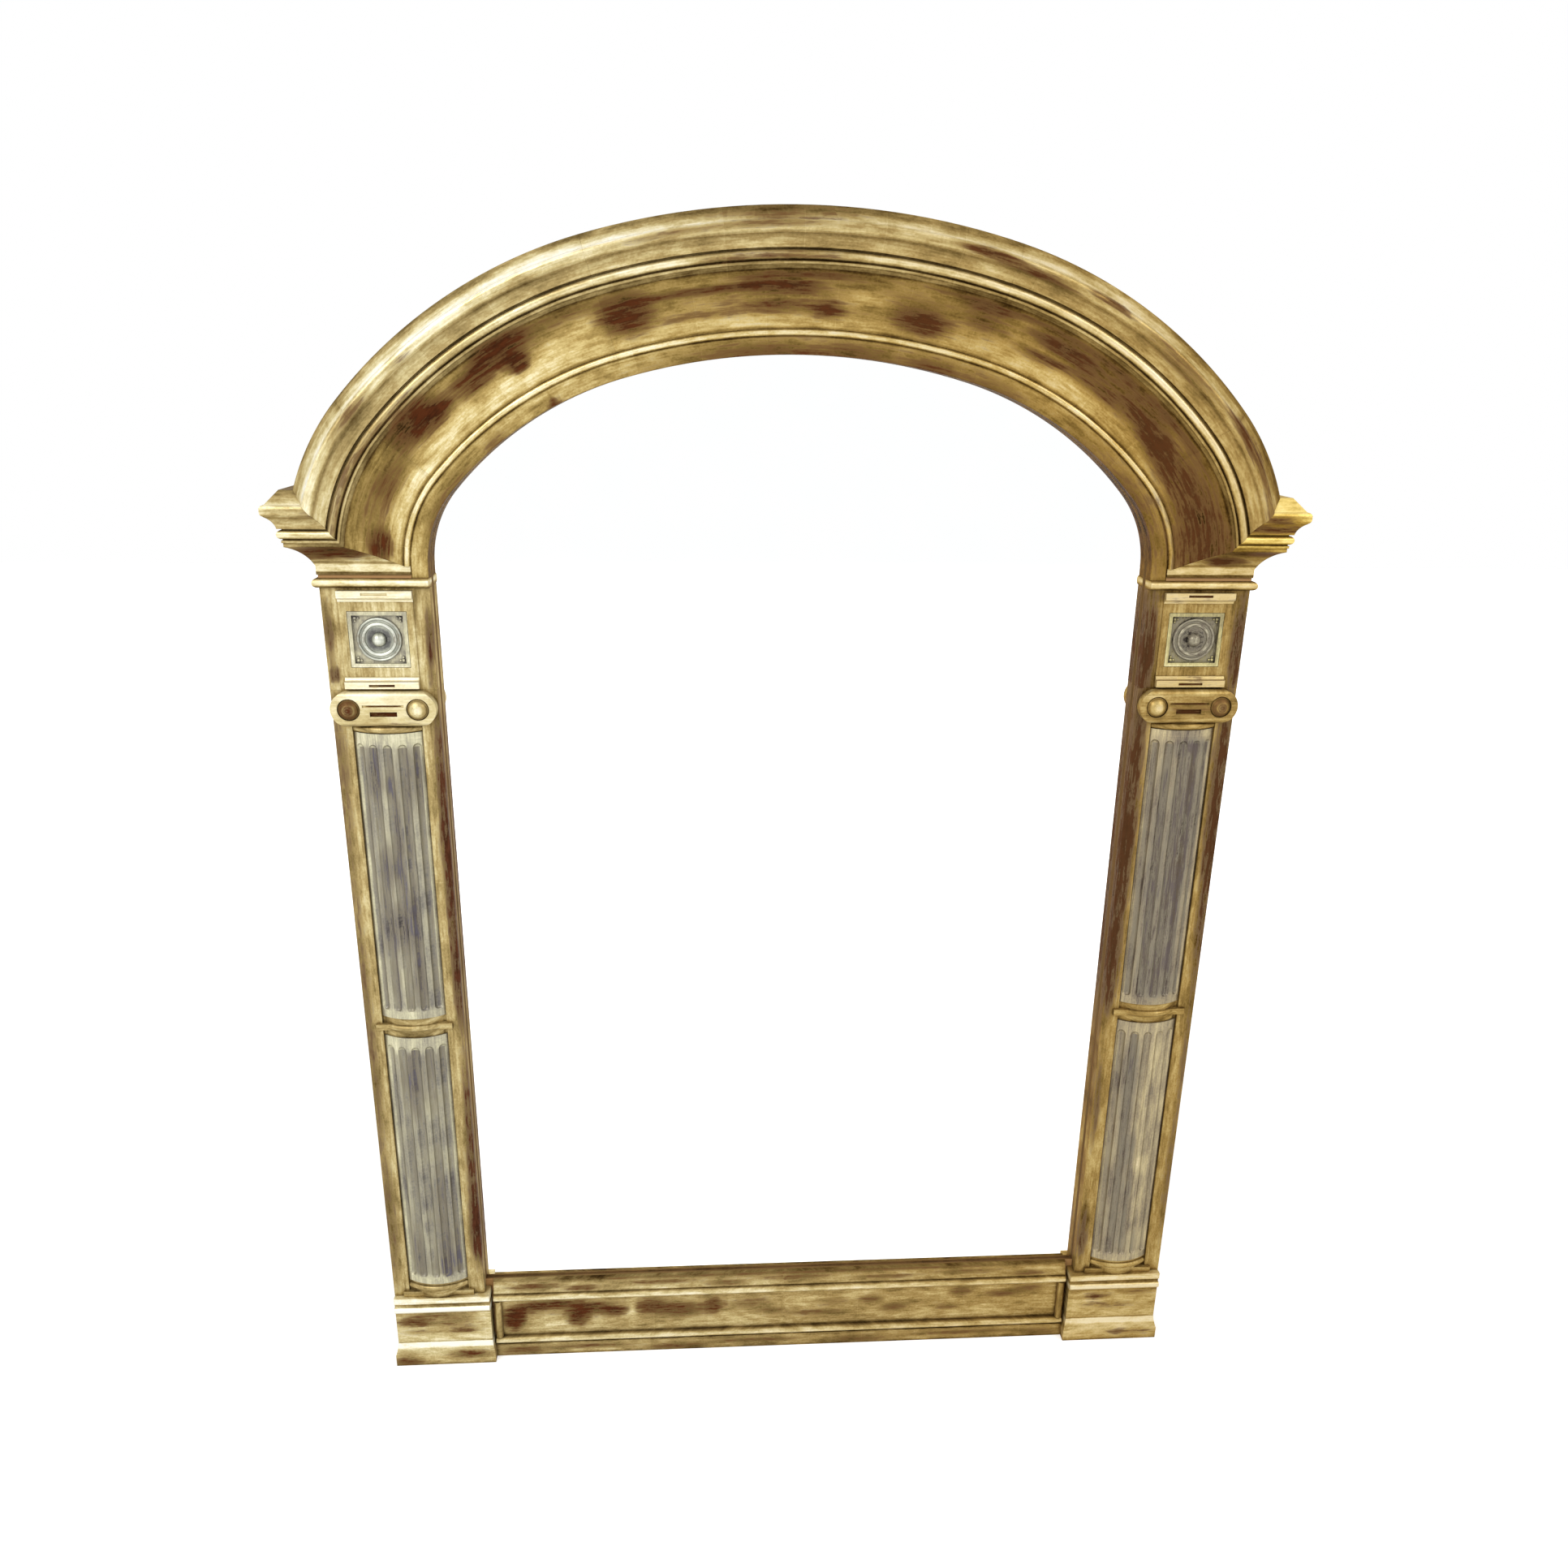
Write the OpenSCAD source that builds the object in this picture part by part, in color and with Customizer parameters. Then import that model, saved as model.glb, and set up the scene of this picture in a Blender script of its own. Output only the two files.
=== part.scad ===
// Overmantel mirror: an arched, gilded frame in classical form.
// Two pilasters with fluted half-shafts stand on plinth blocks and carry a cornice, which turns
// up at both ends and runs over the opening as a five-centred arch.
//
// +Z is up, the front faces -Y, and the part stands on z = 0 with its middle on x = 0.
// Depths are given as "lift": how far a surface stands in front of the plane of the pilaster faces.
// Behind that plane the lift is negative.

/* [Opening] */
// Width of the opening between the pilasters, at the sight edge
sight_w = 912; // [820:1:1000]
// Height of the sight edge of the bottom rail above the base
sill_z = 134; // [126:1:160]
// Rise of the arch from its springing to the crown of the sight edge
arch_rise = 256; // [246:1:270]
// Radius of the sight edge at the haunches, just above the springing
haunch_r = 140; // [120:1:150]
// Angle through which each haunch turns
haunch_turn = 41; // [38:1:44]
// Angle from the springing at which the crown arc begins
crown_start = 74; // [72:1:76]
// Straight leg of the arch between the astragal and the springing
stilt = 12; // [6:1:14]

/* [Pilaster heights, from the floor up] */
// Height of the plinth blocks
plinth_h = 122; // [110:1:125]
// Height of the base ring under each lower shaft
base_ring_h = 27; // [24:1:36]
// Height of the lower fluted shafts
lower_shaft_h = 418; // [340:1:480]
// Height of the ring between the two shafts
mid_ring_h = 30; // [26:1:40]
// Height of the upper fluted shafts
upper_shaft_h = 411; // [340:1:480]
// Height of the ring under each volute capital
neck_ring_h = 10; // [9:1:14]
// Height of the volute capitals
volute_h = 46; // [42:1:54]
// Height of the frieze blocks
frieze_h = 130; // [124:1:150]
// Height of the astragal bead that tops each pilaster
astragal_h = 12; // [9:1:16]

/* [Pilaster widths and projections] */
// Width of each pilaster
pilaster_w = 134; // [128:1:150]
// Width of the fluted shafts
shaft_w = 88; // [70:1:92]
// How far the front of a shaft bulges past its own edges
shaft_bulge = 14; // [8:1:18]
// How far the edges of a shaft lie behind the pilaster's face
shaft_inset = 4; // [2:0.5:6]
// Number of flutes on a shaft
flute_count = 5; // [3:2:7]
// Radius of the flutes
flute_r = 6.5; // [5:0.5:7]
// Depth of the flutes
flute_depth = 4; // [2:0.5:5]
// Plain border at the foot of each shaft
shaft_foot = 11; // [6:1:20]
// Plain border at the top of each shaft
shaft_head = 14; // [6:1:24]
// Length of the bars behind the rings
bar_w = 104; // [96:1:120]
// Radius of the rounded ring mouldings
ring_r = 4.5; // [3:0.5:5]
// Radius of the two bosses on each volute capital
boss_r = 14; // [10:1:16]
// Distance between the bosses of one capital
boss_spacing = 86; // [76:1:90]
// How far the rolls of the capital stand out
volute_lift = 13; // [10:1:18]
// How far the astragal stands out, to the front and to the side
astragal_lift = 7; // [4:1:10]

/* [Frieze tile] */
// Width of the square tile
tile_w = 73; // [60:1:80]
// Height of the square tile
tile_h = 71; // [60:1:74]
// Depth of the recess that the tile lies in
tile_recess = 6; // [4:0.5:8]
// Radius of the turned roundel on the tile
roundel_r = 28; // [20:1:29]
// Width of the raised die around the tile
die_w = 92; // [90:1:100]
// Height of the tablets above and below the tile
tablet_h = 14; // [10:1:15]

/* [Cornice and arch section] */
// Greatest projection of the cap moulding, to the front and to the side
cap_lift = 46; // [40:1:60]
// Height of the cap moulding, from the cove to the top arris
cap_h = 51; // [48:1:58]
// Height of the sloping weathering above the top arris
weather_h = 16; // [8:1:20]
// How far the weathering runs back
weather_run = 14; // [10:1:24]
// Height of the flat lip under the cove of the cornice
lip_h = 15; // [13:1:20]
// Height of the cove at the ears
ear_cove_h = 26; // [22:1:32]
// Projection of the outer edge of the cove
cove_lift = 28; // [22:1:30]
// Width of the flat band beside the sight edge
sight_flat = 21; // [16:1:26]
// Width of the bead between the flat band and the arch cove
sight_bead_w = 8; // [6:1:10]
// Width of the cove round the arch
arch_cove_w = 64; // [58:1:68]
// Hollow of the arch cove below a straight line
arch_cove_dip = 5.5; // [3:0.5:7]
// Hollow of the ear cove below a straight line
ear_cove_dip = 4; // [1:0.5:5]

/* [Plinths and bottom rail] */
// How far each plinth reaches past its pilaster towards the rail
plinth_overlap = 8; // [4:1:12]
// Projection of the plinth's body
plinth_lift = 6; // [4:1:8]
// Further projection of the plinth's foot
plinth_foot_lift = 6; // [3:1:8]
// How far the plinth's foot reaches past its sides
plinth_side_lift = 4; // [2:1:6]
// Height of the plinth's foot moulding
plinth_foot_h = 38; // [30:1:44]
// Height of the mouldings at the plinth's top
plinth_cap_h = 27; // [22:1:32]
// How far the rail's panel lies behind the pilaster faces
rail_sink = 8; // [5:1:10]
// Width of the bead round the rail's panel
rail_bead_w = 11; // [8:1:13]
// Height of the band along the bottom of the rail
rail_band_h = 22; // [16:1:26]

/* [Carcass, glass and back] */
// Thickness of the face boards
face_t = 16; // [14:1:22]
// Thickness of the carcass in front of the glass rebate
core_front_t = 5; // [4:1:8]
// Depth of the rebate behind the glass's seat
rebate_depth = 23; // [20:1:28]
// Width of the rebate
rebate_w = 10; // [9:1:14]
// Length of the lap joint between stile and arch
lap_h = 60; // [40:1:90]
// Angle of the lap joints at the crown
lap_turn = 8; // [6:1:10]
// Thickness of the mirror glass
glass_t = 4; // [3:1:6]
// Thickness of the backboard
backboard_t = 6; // [4:1:8]
// Clearance of glass and backboard in the rebate, and of other fitted pieces
fit_gap = 2; // [1:0.5:3]
// Clearance round the shafts, tiles and bosses in their seats
seat_gap = 0.3; // [0.2:0.1:0.5]
// Number of backing blocks up each side
side_blocks = 4; // [3:1:6]

/* [Wall fixing] */
// How far the middle of a keyhole plate lies below the lap joint of its stile
keyhole_drop = 56; // [46:1:300]
// Length of a keyhole plate
keyhole_plate_h = 64; // [56:1:80]
// Width of a keyhole plate
keyhole_plate_w = 24; // [22:1:30]
// Thickness of a keyhole plate
keyhole_plate_t = 2; // [1.5:0.5:3]
// Radius of the round hole that passes over a wall screw's head
keyhole_r = 5.5; // [5:0.5:6]
// Width of the slot above that hole
keyhole_slot_w = 5; // [4:0.5:6]

/* [Hidden] */
$fn = 96;
// Facets of the large rounds
FINE = 180;

// Colours of the finishes
GILT = "#BE9C58";
WORN_GILT = "#A07B45";
SILVER_LEAF = "#A8AB99";
PINE = "#C8A26A";
MIRROR = "#DCE5E8";
PLY = "#B98F5A";
STEEL = "#8E8B84";
BRASS = "#B08D3C";

// ---- Heights ----
shaft1_z = plinth_h + base_ring_h;
mid_z = shaft1_z + lower_shaft_h;
shaft2_z = mid_z + mid_ring_h;
neck_z = shaft2_z + upper_shaft_h;
volute_z = neck_z + neck_ring_h;
frieze_z = volute_z + volute_h;
astragal_z = frieze_z + frieze_h;
lip_z = astragal_z + astragal_h;
ear_cove_z = lip_z + lip_h;
ear_cap_z = ear_cove_z + ear_cove_h;
ear_top_z = ear_cap_z + cap_h;
spring_z = lip_z + stilt;
keyhole_z = lip_z - lap_h - keyhole_drop;

// ---- Depths ----
rebate_lift = -(face_t + core_front_t);
back_lift = rebate_lift - rebate_depth;
face_y = (cap_lift + back_lift) / 2;
back_y = face_y - back_lift;
recess_lift = -(shaft_inset + 4);

// ---- Widths ----
half_sight = sight_w / 2;
half_span = half_sight + pilaster_w;
pilaster_x = half_sight + pilaster_w / 2;

// ---- Arch: three radii and three centres on each side, tangent where they meet ----
function unit(angle) = [cos(angle), sin(angle)];
turn_a = cos(haunch_turn) - cos(crown_start);
turn_b = sin(crown_start) - sin(haunch_turn);
flat_a = cos(crown_start);
flat_b = 1 - sin(crown_start);
reach_a = half_sight - haunch_r * (1 - cos(haunch_turn));
reach_b = arch_rise - haunch_r * sin(haunch_turn);
turn_det = turn_a * flat_b - flat_a * turn_b;
shoulder_r = (reach_a * flat_b - flat_a * reach_b) / turn_det;
crown_r = (turn_a * reach_b - turn_b * reach_a) / turn_det;
haunch_c = [half_sight - haunch_r, spring_z];
shoulder_c = haunch_c + (haunch_r - shoulder_r) * unit(haunch_turn);
crown_c = [0, spring_z + arch_rise - crown_r];

// Offsets from the sight edge, outwards across the arch section
bead_w0 = sight_flat;
cove_w0 = bead_w0 + sight_bead_w;
cap_w0 = cove_w0 + arch_cove_w;
cap_w1 = cap_w0 + cap_h;
top_w = cap_w1 + weather_h;

// ---- Shaft plan: a circle through the shaft's two edges and its bulging front ----
shaft_r = (pow(shaft_w / 2, 2) + pow(shaft_bulge, 2)) / (2 * shaft_bulge);
shaft_centre_lift = shaft_bulge - shaft_inset - shaft_r;
shaft_half_turn = asin(shaft_w / 2 / shaft_r);
flute_pitch = 2 * shaft_half_turn / flute_count;
// Flutes never break through the plain edges of the shaft
flute_cut_r = min(flute_r, 0.46 * flute_pitch * PI / 180 * shaft_r);

// Points along an arc of a circle
function arc_points(centre, r, from, to, steps = 8, first = 0) =
    [for (i = [first : steps]) centre + r * unit(from + (to - from) * i / steps)];

// Points of a hollow that dips below the straight line from a to b
function hollow_points(a, b, dip, steps = 10) =
    let (
        half = norm(b - a) / 2,
        r = (half * half + dip * dip) / (2 * dip),
        centre = (a + b) / 2 + [-(b - a)[1], (b - a)[0]] / (2 * half) * (r - dip),
        slope = atan2((b - a)[1], (b - a)[0]),
        half_turn = asin(half / r)
    )
    arc_points(centre, r, slope - 90 - half_turn, slope - 90 + half_turn, steps);

// ==== Placing helpers ====

// Right-hand pieces are drawn; the left-hand ones are their mirror images.
module on_side(side) {
    if (side == "left") mirror([1, 0, 0]) children();
    else children();
}

// A front-view outline, made solid between two lifts
module slab(back, front) {
    translate([0, face_y - back, 0])
        rotate([90, 0, 0])
            linear_extrude(front - back) children();
}

// A section drawn as [lift, z], run along X between two places
module run_x(x0, x1) {
    translate([x0, face_y, 0])
        mirror([0, 1, 0])
            rotate([90, 0, 90])
                linear_extrude(x1 - x0) children();
}

// A plan drawn as [x, lift], stood up between two heights
module run_z(z0, z1) {
    translate([0, face_y, z0])
        mirror([0, 1, 0])
            linear_extrude(z1 - z0) children();
}

// One arc of the arch: a section drawn as [offset from the sight edge, lift]
module arch_arc(centre, r, from, to) {
    translate([centre[0], face_y, centre[1]])
        rotate([90, 0, 0])
            rotate([0, 0, from])
                rotate_extrude(angle = to - from, $fn = FINE)
                    translate([r, 0]) children();
}

module haunch() {
    translate([half_sight, 0, 0]) run_z(lip_z, spring_z) children();
    arch_arc(haunch_c, haunch_r, 0, haunch_turn) children();
}

module shoulder() {
    arch_arc(shoulder_c, shoulder_r, haunch_turn, crown_start) children();
}

module crown() {
    arch_arc(crown_c, crown_r, crown_start, 180 - crown_start) children();
}

// Lines of the front view that run beside the sight edge at an offset, from the right-hand
// springing to an angle past the shoulder, and over the crown
LINE_STEPS = 16;
function side_line(w, end = crown_start) = concat(
    arc_points(haunch_c, haunch_r + w, 0, haunch_turn, LINE_STEPS),
    arc_points(shoulder_c, shoulder_r + w, haunch_turn, crown_start, LINE_STEPS, 1),
    end > crown_start ? arc_points(crown_c, crown_r + w, crown_start, end, 4, 1) : []
);
function crown_line(w, start = crown_start) =
    arc_points(crown_c, crown_r + w, start, 180 - start, LINE_STEPS);
function reversed(points) = [for (i = [len(points) - 1 : -1 : 0]) points[i]];
function flipped(points) = [for (p = reversed(points)) [-p[0], p[1]]];

// The outline of the opening, grown all round by an offset
module opening_outline(grow) {
    over_crown = crown_line(grow);
    polygon(concat(
        [[half_sight + grow, sill_z - grow]],
        side_line(grow),
        [for (i = [1 : len(over_crown) - 2]) over_crown[i]],
        flipped(side_line(grow)),
        [[-half_sight - grow, sill_z - grow]]
    ));
}

// ==== Sections ====

// Front of the cap moulding as [height above the cove, lift], from its foot to its top:
// fillet, listel, quirk, bead, quirk, hollow, nose with rounded arrises, weathering
cap_fillet = 5;
cap_bead_r = 5.5;
cap_nose_h = 14;
cap_nose_r = 5;
cap_nose_start = 155;
cap_listel = 3;
cap_quirk = 1.5;
cap_undercut = 3;
cap_hollow_dip = 2;
cap_front =
    let (
        listel_lift = cove_lift + cap_quirk,
        quirk_t = cap_fillet + cap_listel,
        bead_t = quirk_t + cap_quirk + cap_bead_r,
        hollow_t = bead_t + cap_bead_r + cap_quirk,
        nose_t = cap_h - cap_nose_h,
        nose_lift = cap_lift - cap_nose_r
    )
    concat(
        [
            [0, cove_lift], [cap_fillet, cove_lift],
            [cap_fillet, listel_lift], [quirk_t, listel_lift], [quirk_t, cove_lift]
        ],
        arc_points([bead_t, cove_lift], cap_bead_r, 180, 0),
        [[hollow_t, cove_lift]],
        hollow_points(
            [hollow_t, listel_lift + 2 * cap_quirk],
            [nose_t, cap_lift - cap_undercut],
            cap_hollow_dip
        ),
        arc_points([nose_t + cap_nose_r, nose_lift], cap_nose_r, cap_nose_start, 90, 5),
        arc_points([cap_h - cap_nose_r, nose_lift], cap_nose_r, 90, 0, 6),
        [[cap_h + weather_h, nose_lift - weather_run]]
    );

// Front of the ear's lip and cove as [height above the astragal, lift]
lip_quirk = 4;
lip_lift = 1.5;
ear_cove_front = concat(
    [[0, 0], [lip_quirk, 0], [lip_quirk, lip_lift]],
    hollow_points([lip_h, lip_lift], [lip_h + ear_cove_h, cove_lift], ear_cove_dip)
);

// Flat band, bead and cove of the arch as [offset from the sight edge, lift]
arch_cove_front = concat(
    [[0, 0]],
    arc_points([bead_w0 + sight_bead_w / 2, 0], sight_bead_w / 2, 180, 0),
    hollow_points([cove_w0, lip_lift], [cap_w0, cove_lift], arch_cove_dip)
);

// Closes the front of a moulding with a flat back
module backed(front, back) {
    last = front[len(front) - 1];
    polygon(concat([[front[0][0], back]], front, [[last[0], back]]));
}

// A section drawn as [height, lift], turned to [lift, height] and raised
module upright(z) {
    translate([0, z]) mirror([1, -1]) children();
}

// Mitre between arch and ear in the front view. Each corner lies where the same line of the
// moulding on the arch and on the ear cross, so the two meet without a step.
function arch_x(w, z) = haunch_c[0] + sqrt(pow(haunch_r + w, 2) - pow(z - spring_z, 2));
weather_top_z = ear_top_z + weather_h;
mitre = [
    [half_sight + bead_w0, lip_z],
    [half_sight + bead_w0, ear_cove_z],
    [half_sight + cove_w0, ear_cove_z],
    [arch_x(cap_w0, ear_cap_z), ear_cap_z],
    [arch_x(cap_w1, ear_top_z), ear_top_z],
    [arch_x(top_w, weather_top_z), weather_top_z]
];
far_x = half_span + cap_lift + 20;

// The part of the front view that belongs to the ear
module ear_outline() {
    polygon(concat(mitre, [[far_x, weather_top_z], [far_x, lip_z]]));
}

// ==== Carcass ====

module stile_core(side) color(PINE) on_side(side) {
    difference() {
        union() {
            slab(rebate_lift, -face_t)
                translate([half_sight, 0]) square([pilaster_w, lip_z]);
            slab(back_lift, rebate_lift)
                translate([half_sight + rebate_w, sill_z - rebate_w])
                    square([pilaster_w - rebate_w, lip_z - lap_h - sill_z + rebate_w]);
        }
        // Pocket for the head of the wall screw behind the keyhole plate
        slab(back_lift - 1, back_lift + 12)
            translate([pilaster_x, keyhole_z]) keyhole_outline(keyhole_r + 1, keyhole_slot_w + 4);
        // Seat of the plate itself, flush with the back
        slab(back_lift - 1, back_lift + keyhole_plate_t)
            translate([pilaster_x, keyhole_z])
                square([keyhole_plate_w + 2 * seat_gap, keyhole_plate_h + 2 * seat_gap], center = true);
        plate_screws(seat_gap / 2);
    }
}

module rail_core() color(PINE) {
    slab(rebate_lift, -face_t)
        translate([-half_sight, 0]) square([sight_w, sill_z]);
    slab(back_lift, rebate_lift)
        translate([-half_span, 0]) square([2 * half_span, sill_z - rebate_w]);
}

// The arch ring is lapped in its thickness: onto the stiles, and at the crown
module arch_core_end(side) color(PINE) on_side(side) {
    slab(rebate_lift, -face_t) arch_leg_outline(0, lip_z, crown_start + lap_turn);
    slab(back_lift, rebate_lift) arch_leg_outline(rebate_w, lip_z - lap_h, crown_start);
}

module arch_leg_outline(inner, foot_z, end) {
    polygon(concat(
        [[half_span, foot_z]],
        side_line(pilaster_w, end),
        reversed(side_line(inner, end)),
        [[half_sight + inner, foot_z]]
    ));
}

module arch_core_crown() color(PINE) {
    slab(rebate_lift, -face_t) crown_outline(0, crown_start + lap_turn);
    slab(back_lift, rebate_lift) crown_outline(rebate_w, crown_start);
}

module crown_outline(inner, start) {
    polygon(concat(crown_line(pilaster_w, start), reversed(crown_line(inner, start))));
}

// ==== Arch mouldings ====

// Cuts a piece of the arch off at the mitre, where the ear's mouldings begin
module up_to_mitre() {
    difference() {
        children();
        slab(back_lift - 1, cap_lift + 1) {
            ear_outline();
            // The leg below the ear ends on the astragal
            translate([half_sight + bead_w0, lip_z - 1]) square([far_x, 2]);
        }
    }
}

module arch_cove_section() {
    backed(arch_cove_front, -face_t);
}

// The cap laps over the edge of the carcass and returns to the wall
module arch_cap_section() {
    front = [for (p = cap_front) p + [cap_w0, 0]];
    polygon(concat(
        [[cap_w0, -face_t]],
        front,
        [[top_w, back_lift], [pilaster_w, back_lift], [pilaster_w, -face_t]]
    ));
}

module arch_cove_haunch(side) color(WORN_GILT) on_side(side)
    up_to_mitre() haunch() arch_cove_section();

module arch_cove_shoulder(side) color(WORN_GILT) on_side(side) shoulder() arch_cove_section();

module arch_cove_crown() color(WORN_GILT) crown() arch_cove_section();

module arch_cap_haunch(side) color(GILT) on_side(side)
    up_to_mitre() haunch() arch_cap_section();

module arch_cap_shoulder(side) color(GILT) on_side(side) shoulder() arch_cap_section();

module arch_cap_crown() color(GILT) crown() arch_cap_section();

// ==== Ears of the cornice ====

// Packing block behind the ear mouldings: on the face of the carcass, and past its edge
module ear_block(side) color(PINE) on_side(side) {
    slab(-face_t, 0) ear_block_outline();
    slab(back_lift, -face_t) difference() {
        ear_block_outline();
        translate(haunch_c) circle(haunch_r + pilaster_w, $fn = FINE);
        square([half_span + 1, spring_z]);
    }
}

module ear_block_outline() {
    intersection() {
        ear_outline();
        translate([0, lip_z]) square([half_span, weather_top_z - lip_z]);
    }
}

// An ear moulding runs along the front, returns round the end and dies against the wall
module ear_return(front, z) {
    h = front[len(front) - 1][0];
    difference() {
        intersection() {
            run_x(half_sight, far_x) upright(z) backed(front, back_lift);
            slab(back_lift, cap_lift + 1) {
                translate([half_span, 0]) upright(z) backed(front, -1);
                translate([half_sight, z]) square([pilaster_w, h]);
            }
            slab(back_lift, cap_lift + 1) ear_outline();
        }
        slab(back_lift - 1, 0) translate([half_sight, z - 1]) square([pilaster_w, h + 2]);
    }
}

module ear_cove(side) color(GILT) on_side(side) ear_return(ear_cove_front, lip_z);

module ear_cap(side) color(GILT) on_side(side) ear_return(cap_front, ear_cap_z);

// ==== Pilasters ====

// Bead with rounded nose, returned round the outer end of the pilaster
module astragal(side) color(GILT) on_side(side)
    intersection() {
        run_x(half_sight, half_span + astragal_lift)
            translate([0, astragal_z]) astragal_bead(-face_t);
        slab(-face_t, astragal_lift)
            translate([half_span, astragal_z]) astragal_bead(-pilaster_w);
    }

module astragal_bead(back) {
    r = astragal_h / 2;
    translate([back, 0]) square([astragal_lift - r - back, astragal_h]);
    translate([astragal_lift - r, r]) circle(r);
}

die_h = frieze_h - 6;
die_lift = 2;
tile_z = frieze_z + frieze_h / 2;

module frieze_block(side) color(WORN_GILT) on_side(side) difference() {
    union() {
        slab(-face_t, 0) translate([half_sight, frieze_z]) square([pilaster_w, frieze_h]);
        slab(-1, die_lift)
            translate([pilaster_x, tile_z]) square([die_w, die_h], center = true);
    }
    slab(die_lift - tile_recess, die_lift + 1)
        translate([pilaster_x, tile_z])
            square([tile_w + 2 * seat_gap, tile_h + 2 * seat_gap], center = true);
}

// Two raised tablets with hollowed edges towards the tile and a short slot along each
module frieze_tablets() color(GILT) for (side = ["left", "right"]) on_side(side) {
    tablet_lift = 8;
    hollow = 5;
    slot_w = 32;
    slot_h = 3;
    slot_depth = 1.5;
    for (way = [1, -1])
        difference() {
            run_x(pilaster_x - die_w / 2, pilaster_x + die_w / 2)
                translate([0, tile_z]) mirror([0, way < 0 ? 1 : 0])
                    difference() {
                        translate([die_lift, die_h / 2 - tablet_h])
                            square([tablet_lift - die_lift, tablet_h]);
                        translate([tablet_lift, die_h / 2 - tablet_h]) circle(hollow);
                    }
            slab(tablet_lift - slot_depth, tablet_lift + 1)
                translate([pilaster_x, tile_z + way * (die_h / 2 - slot_h - 1)])
                    square([slot_w, slot_h], center = true);
        }
}

// Square tile with a bevelled rim and a sunk ground
module frieze_tile(side) color(SILVER_LEAF) on_side(side) {
    rim = 5;
    back = die_lift - tile_recess;
    difference() {
        slab(back, die_lift)
            translate([pilaster_x, tile_z]) square([tile_w, tile_h], center = true);
        slab(back + 2, die_lift + 1)
            translate([pilaster_x, tile_z])
                square([tile_w - 2 * rim, tile_h - 2 * rim], center = true);
    }
}

// Turned roundels: a rim bead, a dish with a ring in it, and a domed eye
module roundels() color(SILVER_LEAF) for (side = ["left", "right"]) on_side(side) {
    back = die_lift - tile_recess + 2;
    floor_h = 1.2;
    rim_r = 1.8;
    ring_w = 2.5;
    eye_r = roundel_r / 3;
    translate([pilaster_x, face_y - back, tile_z]) rotate([90, 0, 0]) rotate_extrude()
        polygon(concat(
            [[0, 0], [roundel_r, 0]],
            arc_points([roundel_r - rim_r, floor_h], rim_r, 0, 180),
            arc_points([0.7 * roundel_r, floor_h], ring_w, 0, 180),
            arc_points([0, floor_h], eye_r, 0, 90)
        ));
}

// Depth of the seats that the bosses are glued into
boss_seat = 6;

// Cushion with round ends and eased edges, a groove along it and a slot below the groove
module volute_capital(side) color(GILT) on_side(side) {
    end_r = volute_h / 2;
    edge_r = 7;
    groove_r = 1.5;
    groove_z = volute_z + 0.6 * volute_h;
    groove_half = boss_spacing / 2 - boss_r - 2 * groove_r;
    slot_w = 34;
    slot_h = 6;
    slot_depth = 3;
    slot_z = volute_z + 0.37 * volute_h;
    difference() {
        intersection() {
            slab(0, volute_lift) translate([pilaster_x, volute_z + end_r]) {
                square([boss_spacing, volute_h], center = true);
                for (way = [-1, 1]) translate([way * boss_spacing / 2, 0]) circle(end_r);
            }
            run_x(half_sight, half_span) upright(volute_z) backed(concat(
                [[0, 0]],
                arc_points([edge_r, volute_lift - edge_r], edge_r, 180, 90),
                arc_points([volute_h - edge_r, volute_lift - edge_r], edge_r, 90, 0),
                [[volute_h, 0]]
            ), -1);
        }
        for (way = [-1, 1])
            slab(volute_lift - boss_seat, volute_lift + 1)
                translate([pilaster_x + way * boss_spacing / 2, volute_z + end_r])
                    circle(boss_r + seat_gap);
        run_x(pilaster_x - groove_half, pilaster_x + groove_half)
            translate([volute_lift, groove_z]) circle(groove_r, $fn = 16);
        slab(volute_lift - slot_depth, volute_lift + 1)
            translate([pilaster_x, slot_z]) square([slot_w, slot_h], center = true);
    }
}

// Two turned bosses, domed and pegged into the ends of the capital
module volute_bosses() color(GILT) for (side = ["left", "right"]) on_side(side)
    for (way = [-1, 1])
        translate([
            pilaster_x + way * boss_spacing / 2,
            face_y - volute_lift + boss_seat,
            volute_z + volute_h / 2
        ])
            rotate([90, 0, 0]) {
                rim_h = 4;
                cylinder(h = rim_h, r = boss_r);
                intersection() {
                    translate([0, 0, rim_h]) cylinder(h = boss_r, r = boss_r);
                    translate([0, 0, -rim_h]) sphere(norm([boss_r, 2 * rim_h]));
                }
            }

// Plan of a shaft or ring: a round front on a straight-sided foot in the recess
module shaft_plan(r, w) {
    intersection() {
        translate([0, shaft_centre_lift]) circle(r, $fn = FINE);
        translate([-w / 2, -shaft_inset]) square([w, r]);
    }
    translate([-w / 2, recess_lift]) square([w, -shaft_inset - recess_lift]);
}

module flutes(z0, z1) {
    out = flute_cut_r - flute_depth;
    for (i = [0 : flute_count - 1]) {
        turn = (i - (flute_count - 1) / 2) * flute_pitch;
        at = [
            (shaft_r + out) * sin(turn),
            face_y - shaft_centre_lift - (shaft_r + out) * cos(turn)
        ];
        translate([at[0], at[1], z0]) {
            cylinder(h = z1 - z0, r = flute_cut_r, $fn = 32);
            sphere(flute_cut_r, $fn = 32);
            translate([0, 0, z1 - z0]) sphere(flute_cut_r, $fn = 32);
        }
    }
}

module fluted_shaft(z0, h) {
    translate([pilaster_x, 0, 0]) difference() {
        run_z(z0, z0 + h) shaft_plan(shaft_r, shaft_w - 2 * seat_gap);
        flutes(z0 + shaft_foot + flute_cut_r, z0 + h - shaft_head - flute_cut_r);
    }
}

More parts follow.
